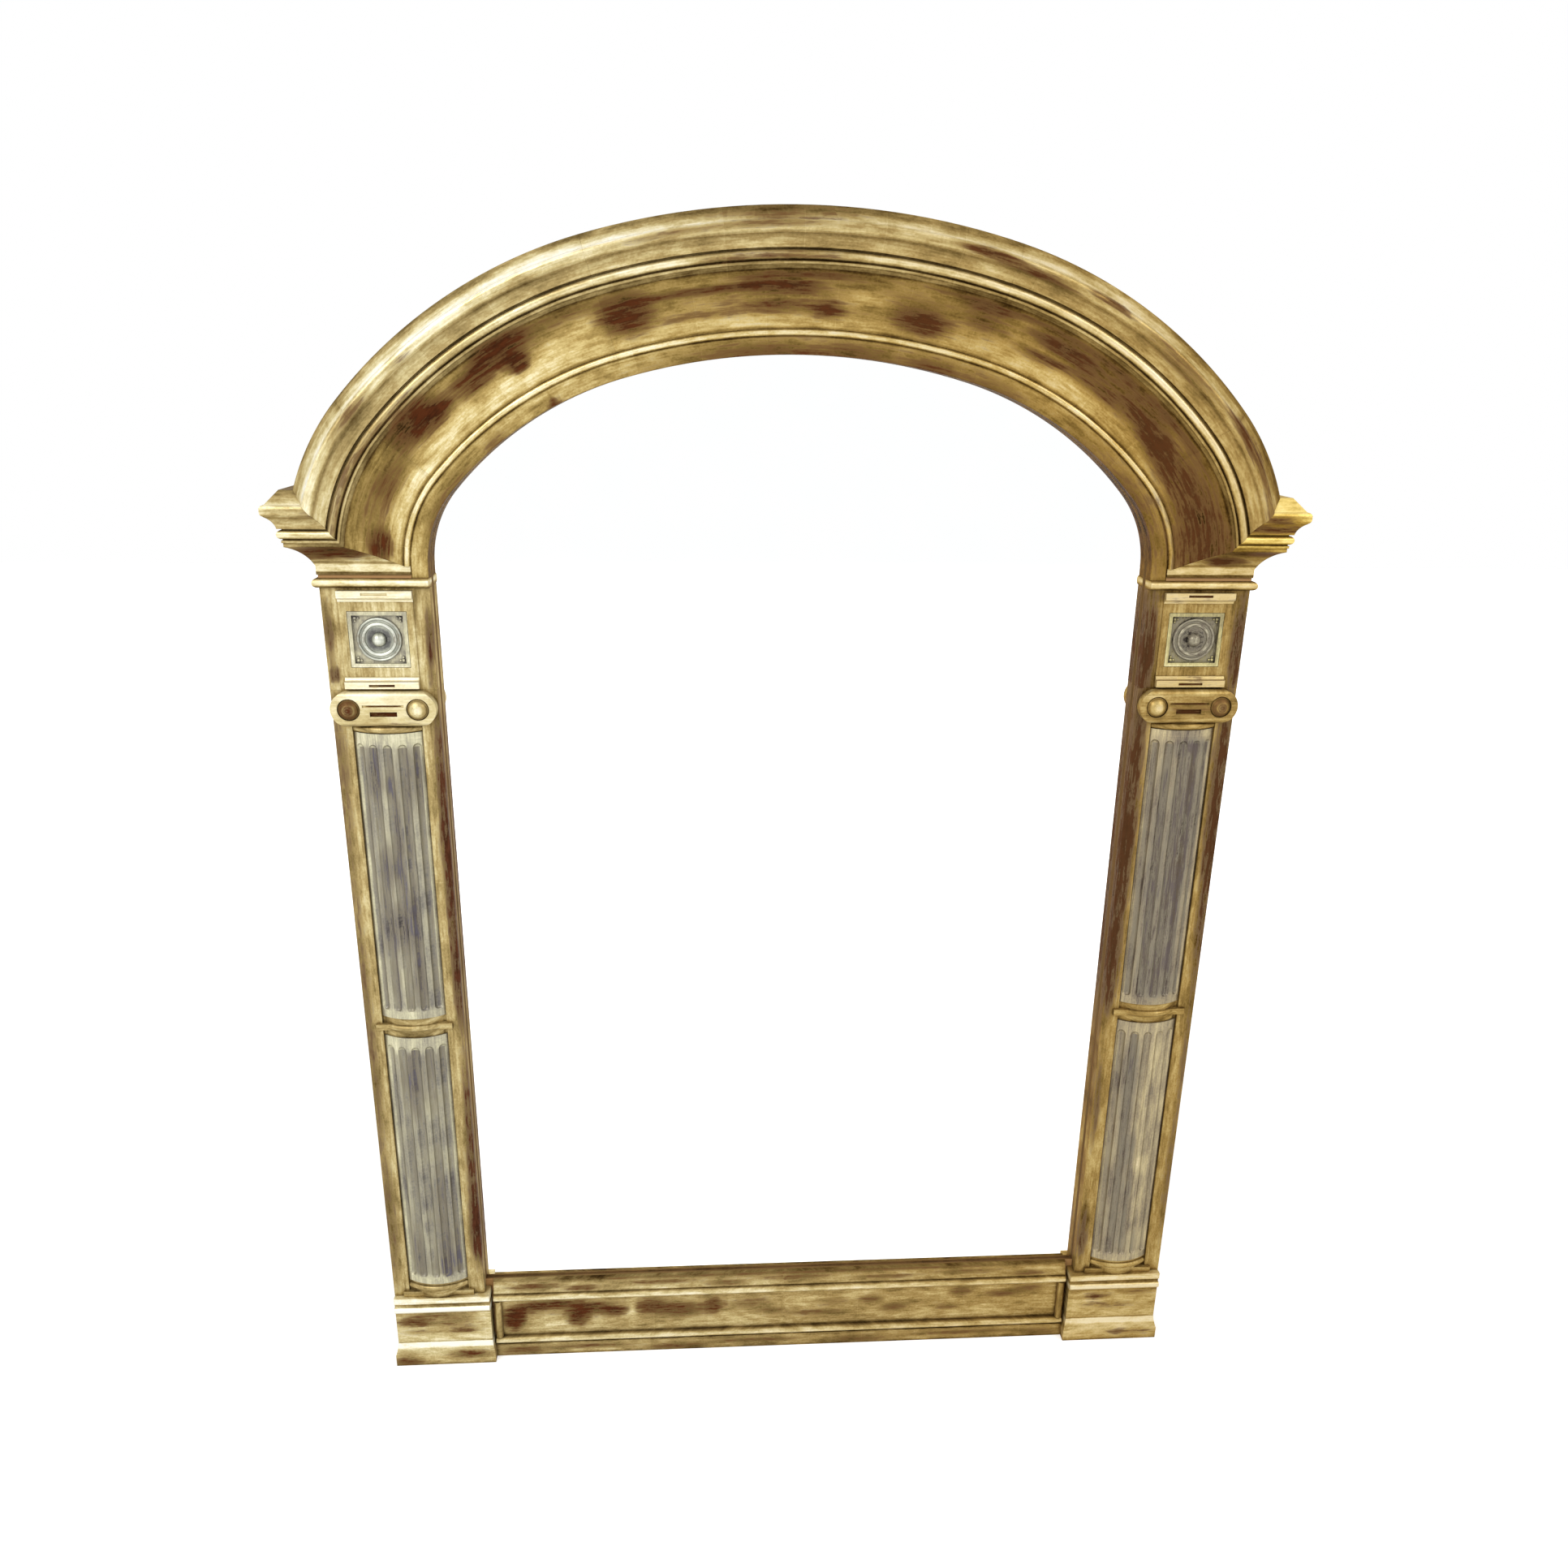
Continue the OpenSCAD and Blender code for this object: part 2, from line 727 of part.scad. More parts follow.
module lower_shaft(side) color(SILVER_LEAF) on_side(side) fluted_shaft(shaft1_z, lower_shaft_h);

module upper_shaft(side) color(SILVER_LEAF) on_side(side) fluted_shaft(shaft2_z, upper_shaft_h);

// Ring that follows the round of the shaft, on a set-back neck
module ring(z0, h, ring_z) {
    neck_r = shaft_r - 2;
    half_turn = asin((shaft_w / 2 - seat_gap) / (neck_r + 2));
    run_z(z0, z0 + h) shaft_plan(neck_r, shaft_w - 2 * seat_gap);
    translate([0, face_y - shaft_centre_lift, ring_z])
        rotate([0, 0, -90 - half_turn])
            rotate_extrude(angle = 2 * half_turn, $fn = FINE)
                translate([neck_r, 0]) circle(ring_r, $fn = 32);
}

// Straight bar that crosses the pilaster behind a ring, let into the recess between its ends
module ring_bar(z, h) {
    bar_lift = 4;
    slab(0, bar_lift) for (way = [-1, 1])
        translate([way > 0 ? shaft_w / 2 : -bar_w / 2, z - h / 2])
            square([(bar_w - shaft_w) / 2, h]);
    slab(recess_lift + 1, bar_lift) translate([0, z]) square([shaft_w, h], center = true);
}

module neck_ring(side) color(GILT) on_side(side) translate([pilaster_x, 0, 0])
    ring(neck_z, neck_ring_h, neck_z + neck_ring_h / 2);

module mid_ring(side) color(GILT) on_side(side) translate([pilaster_x, 0, 0]) {
    middle = mid_z + mid_ring_h / 2;
    ring(mid_z, mid_ring_h, middle);
    ring_bar(middle, 2 * ring_r);
}

module base_ring(side) color(GILT) on_side(side) translate([pilaster_x, 0, 0]) {
    bar_h = base_ring_h - 4 * ring_r;
    ring(plinth_h, base_ring_h, shaft1_z - 2 * ring_r);
    ring_bar(plinth_h + bar_h / 2, bar_h);
}

// Face board, with a long shallow recess that the shafts and rings stand in
module pilaster_face(side) color(WORN_GILT) on_side(side) difference() {
    slab(-face_t, 0)
        translate([half_sight, plinth_h]) square([pilaster_w, frieze_z - plinth_h]);
    slab(recess_lift, 1)
        translate([pilaster_x - shaft_w / 2, plinth_h - 1]) square([shaft_w, volute_z + 1 - plinth_h]);
}

// ==== Plinths ====

plinth_x0 = half_sight - plinth_overlap;
plinth_w = pilaster_w + plinth_overlap;
plinth_body_z1 = plinth_h - plinth_cap_h;
// Thickness of the trim planted on the block
plinth_trim_t = 3;
plinth_seat = plinth_lift - plinth_trim_t;

module plinth_block(side) color(WORN_GILT) on_side(side) {
    slab(-face_t, plinth_seat)
        translate([plinth_x0, 0]) square([plinth_w, plinth_h]);
    slab(plinth_seat - 1, plinth_lift)
        translate([plinth_x0, plinth_foot_h]) square([plinth_w, plinth_body_z1 - plinth_foot_h]);
}

// Bead, quirk and fillet, planted across the top of the block
module plinth_cap(side) color(GILT) on_side(side) {
    bead_r = plinth_cap_h / 5;
    fillet_z = 3.1 * bead_r;
    fillet_lift = plinth_lift + 3;
    run_x(plinth_x0, half_span) upright(plinth_body_z1)
        backed(concat(
            arc_points([bead_r, plinth_lift], bead_r, 180, 0),
            [[fillet_z, plinth_lift], [fillet_z, fillet_lift], [plinth_cap_h, fillet_lift]]
        ), plinth_seat);
}

// Foot that swells out over a plain base, returned round both ends
module plinth_foot(side) color(GILT) on_side(side) difference() {
    foot_lift = plinth_lift + plinth_foot_lift;
    end = foot_front(0, plinth_side_lift);
    intersection() {
        run_x(plinth_x0 - plinth_side_lift, half_span + plinth_side_lift)
            upright(0) backed(foot_front(plinth_lift, foot_lift), -face_t);
        slab(-face_t, foot_lift) polygon(concat(
            [for (p = end) [half_span + p[1], p[0]]],
            [for (p = reversed(end)) [plinth_x0 - p[1], p[0]]]
        ));
    }
    slab(-face_t - 1, plinth_seat)
        translate([plinth_x0, -1]) square([plinth_w, plinth_foot_h + 2]);
}

// Plain base below, then a hollow slope up to the block, as [height, lift]
function foot_front(body, foot) = concat(
    [[0, foot]],
    hollow_points([plinth_foot_h / 2, foot], [plinth_foot_h, body], (foot - body) / 6, 6)
);

// ==== Bottom rail ====

rail_x = plinth_x0 - plinth_side_lift;
rail_panel_z0 = rail_band_h + rail_bead_w;
rail_sight_h = 22;
rail_panel_z1 = sill_z - rail_sight_h - rail_bead_w;
// Round-nosed bead, as [distance across, lift]
rail_bead_front = arc_points([rail_bead_w / 2, -rail_bead_w / 2], rail_bead_w / 2, 180, 0);

module rail_panel() color(WORN_GILT)
    slab(-face_t, -rail_sink)
        translate([-rail_x, rail_band_h]) square([2 * rail_x, sill_z - rail_sight_h - rail_band_h]);

// Sloping sight moulding with the upper bead of the panel, joined by a thin web behind them
module rail_sight_moulding() color(GILT)
    run_x(-rail_x, rail_x) {
        foot_z = sill_z - rail_sight_h;
        web_h = 1;
        slope = hollow_points([2, -face_t / 3], [rail_sight_h, -0.75 * face_t], 1, 6);
        upright(foot_z) backed(concat([[0, -face_t / 3]], slope), -face_t);
        upright(foot_z - rail_bead_w) backed(rail_bead_front, -rail_sink);
        translate([-face_t, foot_z]) square([face_t - rail_sink, web_h]);
    }

// Plain band along the floor with the lower bead of the panel
module rail_foot_moulding() color(GILT)
    run_x(-rail_x, rail_x) {
        translate([-face_t, 0]) square([face_t - 1, rail_band_h]);
        upright(rail_band_h) backed(rail_bead_front, -rail_sink);
    }

// Short upright beads that close the panel at both ends
module rail_end_beads() color(GILT)
    for (way = [0, 1]) mirror([way, 0, 0])
        run_z(rail_panel_z0, rail_panel_z1)
            translate([rail_x - rail_bead_w, 0]) backed(rail_bead_front, -rail_sink);

// ==== Glass and back ====

module mirror_glass() color(MIRROR)
    slab(rebate_lift - glass_t, rebate_lift) opening_outline(rebate_w - fit_gap);

backboard_lift = rebate_lift - glass_t;

module backboard() color(PLY)
    slab(backboard_lift - backboard_t, backboard_lift) opening_outline(rebate_w - fit_gap);

// Length and width of a backing block, and how far from the rail and springing the rows stop
block_l = 40;
block_w = 12;
block_margin = 150;

// Pine blocks glued into the corner between the backboard and the rebate's wall
module backing_blocks() color(PINE) slab(back_lift, backboard_lift - backboard_t) {
    step = (spring_z - sill_z - 2 * block_margin) / (side_blocks - 1);
    for (way = [0, 1]) mirror([way, 0])
        for (i = [0 : side_blocks - 1])
            translate([
                half_sight + rebate_w - block_w, sill_z + block_margin + i * step - block_l / 2
            ])
                square([block_w, block_l]);
    for (x = [-half_sight / 2, 0, half_sight / 2])
        translate([x - block_l / 2, sill_z - rebate_w]) square([block_l, block_w]);
    translate([-block_l / 2, spring_z + arch_rise + rebate_w - seat_gap - block_w])
        square([block_l, block_w]);
}

// ==== Wall fixing ====

// Round hole with a slot above it
module keyhole_outline(r, slot_w) {
    circle(r);
    translate([-slot_w / 2, 0]) square([slot_w, 3 * keyhole_r]);
    translate([0, 3 * keyhole_r]) circle(slot_w / 2);
}

plate_screw_offset = keyhole_plate_h / 2 - 7;
plate_screw_r = 1.6;
plate_screw_l = 14;

module keyhole_plates() color(STEEL)
    for (way = [0, 1]) mirror([way, 0, 0]) difference() {
        slab(back_lift, back_lift + keyhole_plate_t)
            translate([pilaster_x, keyhole_z]) difference() {
                square([keyhole_plate_w, keyhole_plate_h], center = true);
                keyhole_outline(keyhole_r, keyhole_slot_w);
            }
        plate_screws(seat_gap / 2);
    }

// Countersunk wood screws that hold the plates, two to a plate
module keyhole_screws() color(BRASS)
    for (way = [0, 1]) mirror([way, 0, 0]) plate_screws(0);

module plate_screws(gap) {
    head_h = 1.8;
    for (up = [-1, 1])
        translate([pilaster_x, back_y, keyhole_z + up * plate_screw_offset]) rotate([90, 0, 0]) {
            cylinder(h = head_h, r1 = plate_screw_r + head_h + gap, r2 = plate_screw_r + gap);
            cylinder(h = plate_screw_l + gap, r = plate_screw_r + gap);
        }
}

// ==== Nodes ====

stile_core("left");  // stile_core_left
stile_core("right");  // stile_core_right
rail_core();
arch_core_end("left");  // arch_core_left
arch_core_crown();
arch_core_end("right");  // arch_core_right
arch_cove_haunch("left");  // arch_cove_haunch_left
arch_cove_shoulder("left");  // arch_cove_shoulder_left
arch_cove_crown();
arch_cove_shoulder("right");  // arch_cove_shoulder_right
arch_cove_haunch("right");  // arch_cove_haunch_right
arch_cap_haunch("left");  // arch_cap_haunch_left
arch_cap_shoulder("left");  // arch_cap_shoulder_left
arch_cap_crown();
arch_cap_shoulder("right");  // arch_cap_shoulder_right
arch_cap_haunch("right");  // arch_cap_haunch_right
ear_block("left");  // ear_block_left
ear_block("right");  // ear_block_right
ear_cove("left");  // ear_cove_left
ear_cove("right");  // ear_cove_right
ear_cap("left");  // ear_cap_left
ear_cap("right");  // ear_cap_right
astragal("left");  // astragal_left
astragal("right");  // astragal_right
frieze_block("left");  // frieze_block_left
frieze_block("right");  // frieze_block_right
frieze_tile("left");  // frieze_tile_left
frieze_tile("right");  // frieze_tile_right
frieze_tablets();
roundels();
volute_capital("left");  // volute_capital_left
volute_capital("right");  // volute_capital_right
volute_bosses();
neck_ring("left");  // neck_ring_left
neck_ring("right");  // neck_ring_right
pilaster_face("left");  // pilaster_face_left
pilaster_face("right");  // pilaster_face_right
upper_shaft("left");  // upper_shaft_left
upper_shaft("right");  // upper_shaft_right
mid_ring("left");  // mid_ring_left
mid_ring("right");  // mid_ring_right
lower_shaft("left");  // lower_shaft_left
lower_shaft("right");  // lower_shaft_right
base_ring("left");  // base_ring_left
base_ring("right");  // base_ring_right
plinth_block("left");  // plinth_block_left
plinth_block("right");  // plinth_block_right
plinth_cap("left");  // plinth_cap_left
plinth_cap("right");  // plinth_cap_right
plinth_foot("left");  // plinth_foot_left
plinth_foot("right");  // plinth_foot_right
rail_panel();
rail_sight_moulding();
rail_foot_moulding();
rail_end_beads();
mirror_glass();
backboard();
backing_blocks();
keyhole_plates();
keyhole_screws();
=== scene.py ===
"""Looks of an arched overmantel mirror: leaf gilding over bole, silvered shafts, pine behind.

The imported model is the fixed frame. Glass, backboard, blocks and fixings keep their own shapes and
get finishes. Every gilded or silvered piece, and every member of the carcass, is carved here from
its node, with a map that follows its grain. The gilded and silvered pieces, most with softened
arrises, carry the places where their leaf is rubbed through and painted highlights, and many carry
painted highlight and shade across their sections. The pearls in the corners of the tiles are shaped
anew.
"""

import logging
import math
from dataclasses import dataclass, field, replace
from enum import Enum
from typing import Callable, Sequence

import bmesh
import bpy
from mathutils import Matrix, Vector

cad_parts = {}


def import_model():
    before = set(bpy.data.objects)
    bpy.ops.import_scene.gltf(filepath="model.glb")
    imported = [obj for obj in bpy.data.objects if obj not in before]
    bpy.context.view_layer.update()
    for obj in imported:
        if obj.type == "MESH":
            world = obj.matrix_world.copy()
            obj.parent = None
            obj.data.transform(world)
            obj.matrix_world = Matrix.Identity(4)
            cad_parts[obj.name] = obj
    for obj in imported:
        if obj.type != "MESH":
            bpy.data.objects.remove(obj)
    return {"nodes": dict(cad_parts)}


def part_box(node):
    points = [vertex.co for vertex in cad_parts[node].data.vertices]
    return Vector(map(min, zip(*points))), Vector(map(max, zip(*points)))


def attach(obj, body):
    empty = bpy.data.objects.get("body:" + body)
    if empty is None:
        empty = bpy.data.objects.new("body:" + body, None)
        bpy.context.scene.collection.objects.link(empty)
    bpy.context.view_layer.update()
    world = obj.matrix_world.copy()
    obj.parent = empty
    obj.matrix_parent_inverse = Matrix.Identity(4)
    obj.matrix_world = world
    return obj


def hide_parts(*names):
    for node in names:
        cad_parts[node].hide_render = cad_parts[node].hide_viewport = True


LOG = logging.getLogger("overmantel")
MM = 0.001
BODY = "root"
RUN_MAP = "run"
RUB_AND_LIGHT = "rub_and_light"
# Where the face of the pilasters stands, in front of and behind which every lift is measured
FACE_Y = 1 * MM
# Arrises steeper than this are softened, and flatter ones are shaded smooth
ARRIS = math.radians(32)
# Points of a mesh that lie closer than this are one
MERGE = 1e-6
# Rounding of the arrises on fine mouldings
FINE_ARRIS = 0.5 * MM
# The axes that pieces are sliced across
X, Z = 0, 2
# Middle of each pilaster, from the middle of the mirror
AXIS_X = 523 * MM

BMesh = bmesh.types.BMesh
Material = bpy.types.Material
Object = bpy.types.Object
Socket = bpy.types.NodeSocket
Tree = bpy.types.NodeTree
Cuts = tuple[tuple[int, float], ...]
Marker = Callable[[Vector], tuple[float, float]]
WearAndLight = Callable[[Vector], float]


class Side(Enum):
    """Which half of the mirror a piece belongs to."""

    LEFT = "left"
    RIGHT = "right"

    @property
    def word(self) -> str:
        """The side's name as the nodes spell it."""
        return self.value


class Slot(Enum):
    """The record's material slots, named for the finishes of the carved pieces."""

    GILDING = "gilding"
    WORN_GILDING = "worn_gilding"
    SILVER_LEAF = "silver_leaf"
    CARCASS = "pine_carcass"


class Grain(Enum):
    """Direction of the wood's grain, as how often its figure changes along X, Y and Z."""

    ALONG_X = (1, 12, 12)
    ALONG_Z = (12, 12, 1)


# ---- Node and colour helpers ----


def linear(code: str) -> tuple[float, float, float, float]:
    """Turns an sRGB hex colour to linear.

    Args:
        code: the colour as six hex digits, such as "C2A45A".

    Returns:
        The linear red, green and blue, with an alpha of 1.
    """
    parts = [int(code[i : i + 2], 16) / 255 for i in (0, 2, 4)]
    rgb = [c / 12.92 if c <= 0.04045 else ((c + 0.055) / 1.055) ** 2.4 for c in parts]
    return (rgb[0], rgb[1], rgb[2], 1.0)


def add(tree: Tree, kind: str, settings: dict | None = None, **links) -> bpy.types.Node:
    """Adds one node to a tree, with its settings and links.

    Args:
        tree: the node tree.
        kind: the node's type, without its leading "ShaderNode".
        settings: values by the name of an input socket or of a property of the node.
        links: output sockets by the name of the input, with "_" for a space, or "i0", "i1" by index.

    Returns:
        The new node.
    """
    node = tree.nodes.new("ShaderNode" + kind)
    for name, value in (settings or {}).items():
        if isinstance(name, int) or name in node.inputs:
            node.inputs[name].default_value = value
        else:
            setattr(node, name, value)
    for name, socket in links.items():
        if name[0] == "i" and name[1:].isdigit():
            target = node.inputs[int(name[1:])]
        else:
            target = node.inputs[name.replace("_", " ")]
        tree.links.new(socket, target)
    return node


def set_ramp(node: bpy.types.Node, stops: Sequence[tuple[float, tuple]]) -> None:
    """Gives a colour ramp its stops.

    Args:
        node: the ramp.
        stops: for each stop its place from 0 to 1 and its colour.
    """
    elements = node.color_ramp.elements
    while len(elements) > 1:
        elements.remove(elements[-1])
    elements[0].position, elements[0].color = stops[0]
    for place, colour in stops[1:]:
        elements.new(place).color = colour


def new_material(name: str) -> tuple[Material, Tree, bpy.types.Node]:
    """Starts a node material.

    Args:
        name: the material's name.

    Returns:
        The material, its empty tree but for a principled shader and an output, and the shader.
    """
    material = bpy.data.materials.new(name)
    material.use_nodes = True
    tree = material.node_tree
    tree.nodes.clear()
    shader = add(tree, "BsdfPrincipled")
    add(tree, "OutputMaterial", Surface=shader.outputs["BSDF"])
    return material, tree, shader


def weighted(
    tree: Tree, start: float, *terms: tuple[Socket, float, float]
) -> Socket:
    """Adds up sockets in a chain of math nodes.

    Args:
        tree: the node tree.
        start: the value to start from.
        terms: for each socket its weight and the value of it that adds nothing.

    Returns:
        The socket of the sum.
    """
    start -= sum(weight * zero for _, weight, zero in terms)
    total: Socket | None = None
    for socket, weight, _ in terms:
        node = add(tree, "Math", {"operation": "MULTIPLY_ADD", 1: weight, 2: start}, i0=socket)
        if total is not None:
            tree.links.new(total, node.inputs[2])
        total = node.outputs["Value"]
    return total


def eased(
    tree: Tree, value: Socket, low: float, high: float, top: float = 1.0
) -> Socket:
    """A value that rises softly between two bounds.

    Args:
        tree: the node tree.
        value: the socket of the value that it follows.
        low: where it leaves 0.
        high: where it reaches its top.
        top: its greatest value.

    Returns:
        The socket of the eased value.
    """
    settings = {"interpolation_type": "SMOOTHSTEP", "From Min": low, "From Max": high, "To Max": top}
    return add(tree, "MapRange", settings, Value=value).outputs["Result"]


# ---- Finishes ----

# How strongly each noise changes the tone of the leaf
TONE_WEIGHTS = {"streak": 0.32, "short": 0.22, "cloud": 0.5, "fleck": 0.2, "broken": 0.38}
# How strongly each noise breaks up the edge of a rubbed place
EDGE_WEIGHTS = {"short": 1.4, "streak": 1.8, "fleck": 0.5, "cloud": 0.8, "broken": 1.5}
# The mean of a noise or of a grey ramp, which changes nothing
MEAN = 0.5
# How steeply the rubbing of a patch falls off at its edge
STEEPNESS = 1.4


@dataclass(frozen=True)
class Patch:
    """A place where the leaf is rubbed, in mm along and across the moulding.

    A negative depth marks a painted highlight, a place drawn brighter than the rest.
    """

    run: float
    across: float
    length: float
    width: float
    depth: float = 1.0

    def at(self, run: float, across: float) -> float:
        """How far the leaf is rubbed at a place, and below 0 how bright a highlight is painted there.

        Args:
            run: the place along the moulding, in metres.
            across: the place across it, in metres.

        Returns:
            The rubbing, which falls off softly to 0 round the patch.
        """
        along = (run / MM - self.run) / self.length
        aside = (across / MM - self.across) / self.width
        return self.depth * math.exp(-((along * along + aside * aside) ** STEEPNESS))


def patches(*rows: tuple[float, ...]) -> tuple[Patch, ...]:
    """Patches from rows of their numbers, in the order of a patch's fields."""
    return tuple(Patch(*row) for row in rows)


@dataclass(frozen=True)
class Leaf:
    """Metal leaf laid in squares over bole, rubbed back and toned with a brown glaze.

    The leaf gives a soft metallic sheen, streaked along the moulding by the burnisher. Bole, a
    fine red clay, shows where it is rubbed through. Quirks and hollows are darker, partly from glaze
    left there and partly as painted shade; highlight and shade are painted across each section, and a
    warmer light is painted on the right-hand side.
    """

    name: str
    tones: tuple[tuple[float, str], ...]
    bole: str
    bole_dark: str
    # Colour of the bole on the right-hand side, where it's browner
    bole_right: str
    film: str
    # Painted warmer light on the right-hand side, a colour that the leaf tends to there by multiplying
    warm: str = "FFFFFF"
    # Tint of what it mirrors at a grazing angle
    edge: str = "8A6A3C"
    base: float = 0.485
    metallic: float = 0.5
    roughness: float = 0.4
    wear: float = 0.0
    # How strongly the noises change the tone
    mottle: float = 1.0
    hollow_mm: float = 6.0
    leaf_mm: float = 84.0
    streak_mm: tuple[float, float] = (84.0, 3.6)
    short_mm: tuple[float, float] = (24.0, 3.0)
    cloud_mm: tuple[float, float] = (80.0, 30.0)
    broken_mm: tuple[float, float] = (24.0, 8.0)
    fleck_mm: tuple[float, float] = (3.52, 2.2)
    # Tone added by place across the section, as mm and a tone from -1 to 1: painted highlight on
    # fillets, beads and noses and painted shade in quirks and under overhangs, with some of the
    # piece's own tone
    profile: tuple[tuple[float, float], ...] = ()
    # Rubbing at which the dull film and the bole start and are full, and how much of each shows then
    film_at: tuple[float, float, float] = (0.08, 0.56, 0.84)
    bole_at: tuple[float, float, float] = (0.5, 1.16, 0.92)
    # The left and right ends, in metres, of the change from the left-hand look to the right-hand one
    turn_at: tuple[float, float] = (-0.45, 0.55)

    def material(self) -> Material:
        """Builds the finish as a node material, or finds it where it was built before.

        Returns:
            The material, which reads the map "run" and the rubbing attribute, which also carries
            painted highlight and shade.
        """
        made = bpy.data.materials.get(self.name)
        if made:
            return made
        material, tree, shader = new_material(self.name)
        run = add(tree, "UVMap", {"uv_map": RUN_MAP}).outputs["UV"]
        rub_and_light = add(tree, "Attribute", {"attribute_name": RUB_AND_LIGHT}).outputs["Fac"]
        noises = {
            name: self._noise(tree, run, size_mm, detail)
            for name, size_mm, detail in (
                ("streak", self.streak_mm, 4.0), ("short", self.short_mm, 3.0),
                ("cloud", self.cloud_mm, 3.0), ("broken", self.broken_mm, 4.0),
                ("fleck", self.fleck_mm, 2.0),
            )
        }
        worn = self._worn(tree, rub_and_light, noises)
        film = eased(tree, worn, *self.film_at)
        through = eased(tree, worn, *self.bole_at)
        filmed = add(
            tree, "Mix", {"data_type": "RGBA", 7: linear(self.film)},
            i0=film, i6=self._toned(tree, run, rub_and_light, noises),
        ).outputs[2]
        colour = add(
            tree, "Mix", {"data_type": "RGBA"}, i0=through, i6=filmed, i7=self._clay(tree, noises)
        ).outputs[2]
        short, fleck = noises["short"], noises["fleck"]
        metal = weighted(tree, self.metallic, (through, -self.metallic, 0.0), (film, -0.25, 0.0))
        gloss = weighted(tree, self.roughness, (through, 0.3, 0.0), (short, 0.2, MEAN))
        height = weighted(tree, 0.0, (short, 0.5, 0.0), (fleck, 0.4, 0.0), (through, -0.3, 0.0))
        bump = add(tree, "Bump", {"Strength": 0.3, "Distance": 0.5 * MM}, Height=height)
        for name, socket in (
            ("Base Color", colour), ("Metallic", metal), ("Roughness", gloss),
            ("Normal", bump.outputs["Normal"]),
        ):
            tree.links.new(socket, shader.inputs[name])
        shader.inputs["Specular IOR Level"].default_value = 0.02
        shader.inputs["Specular Tint"].default_value = linear(self.edge)
        return material

    def _toned(self, tree: Tree, run: Socket, rub_and_light: Socket, noises: dict[str, Socket]) -> Socket:
        """The colour of the leaf, by its noises and its squares, darker in its hollows from glaze and
        painted shade, with painted highlight and shade by its section and a painted warmer light on
        the right-hand side.

        Args:
            tree: the node tree.
            run: the socket of the map.
            rub_and_light: the socket of the rubbing, with painted highlight and shade.
            noises: the noises by name.

        Returns:
            The socket of the colour.
        """
        # Darker in hollows and between pieces: partly glaze left there, partly painted shade
        hollow = add(tree, "AmbientOcclusion", {"Distance": self.hollow_mm * MM, "samples": 6})
        terms = [(noises[name], weight * self.mottle, MEAN) for name, weight in TONE_WEIGHTS.items()]
        terms += [
            (self._squares(tree, run), 0.07 * self.mottle, MEAN),
            (hollow.outputs["AO"], 0.31, 0.94), (rub_and_light, -0.3, 0.0),
        ]
        # Painted highlight and shade across the section
        if self.profile:
            terms.append((self._profile(tree, run), 0.84, MEAN))
        ramp = add(tree, "ValToRGB", i0=weighted(tree, self.base, *terms))
        set_ramp(ramp, [(place, linear(code)) for place, code in self.tones])
        # A painted warmer light on the right-hand side, multiplied in
        return add(
            tree, "Mix", {"data_type": "RGBA", "blend_type": "MULTIPLY", 7: linear(self.warm)},
            i0=self._right_hand(tree), i6=ramp.outputs["Color"],
        ).outputs[2]

    def _worn(self, tree: Tree, rub_and_light: Socket, noises: dict[str, Socket]) -> Socket:
        """How far the leaf is gone, with the rubbed places' edges broken up by the noises; it also
        carries the painted highlights, below 0, and the painted shade round the bosses' feet.

        Args:
            tree: the node tree.
            rub_and_light: the socket of the rubbing, with painted highlight and shade.
            noises: the noises by name.

        Returns:
            The socket of the wear.
        """
        terms = [(noises[name], weight, MEAN) for name, weight in EDGE_WEIGHTS.items()]
        # Where nothing is rubbed the noises hardly bite, so that no stray flecks of bole show
        bite = add(tree, "MapRange", {"From Max": 0.9, "To Min": 0.22, "To Max": 1.3}, Value=rub_and_light)
        edge = weighted(tree, 0.0, *terms)
        ragged = add(tree, "Math", {"operation": "MULTIPLY"}, i0=edge, i1=bite.outputs["Result"])
        return weighted(tree, self.wear, (rub_and_light, 1.0, 0.0), (ragged.outputs[0], 1.0, 0.0))

    def _clay(self, tree: Tree, noises: dict[str, Socket]) -> Socket:
        """The colour of the bole, in two shades that the noises part.

        Args:
            tree: the node tree.
            noises: the noises by name.

        Returns:
            The socket of the colour.
        """
        clay = add(
            tree, "Mix", {"data_type": "RGBA", 6: linear(self.bole_dark), 7: linear(self.bole)},
            i0=weighted(tree, 0.5, (noises["broken"], 3.0, MEAN), (noises["short"], 1.5, MEAN)),
        ).outputs[2]
        return add(
            tree, "Mix", {"data_type": "RGBA", 7: linear(self.bole_right)},
            i0=weighted(tree, 0.0, (self._right_hand(tree), 0.6, 0.0)), i6=clay,
        ).outputs[2]

    def _noise(
        self, tree: Tree, run: Socket, size_mm: tuple[float, float], detail: float
    ) -> Socket:
        """A noise whose spots are drawn out along the moulding.

        Args:
            tree: the node tree.
            run: the socket of the map.
            size_mm: length and width of its spots.
            detail: how many finer layers lie over them.

        Returns:
            The socket of the noise.
        """
        scale = (1 / (size_mm[0] * MM), 1 / (size_mm[1] * MM), 1.0)
        shift = (size_mm[1], size_mm[0], 0)
        placed = add(tree, "Mapping", {"Scale": scale, "Location": shift}, Vector=run)
        settings = {"noise_dimensions": "2D", "Scale": 1.0, "Detail": detail, "Roughness": 0.55}
        return add(tree, "TexNoise", settings, Vector=placed.outputs["Vector"]).outputs[0]

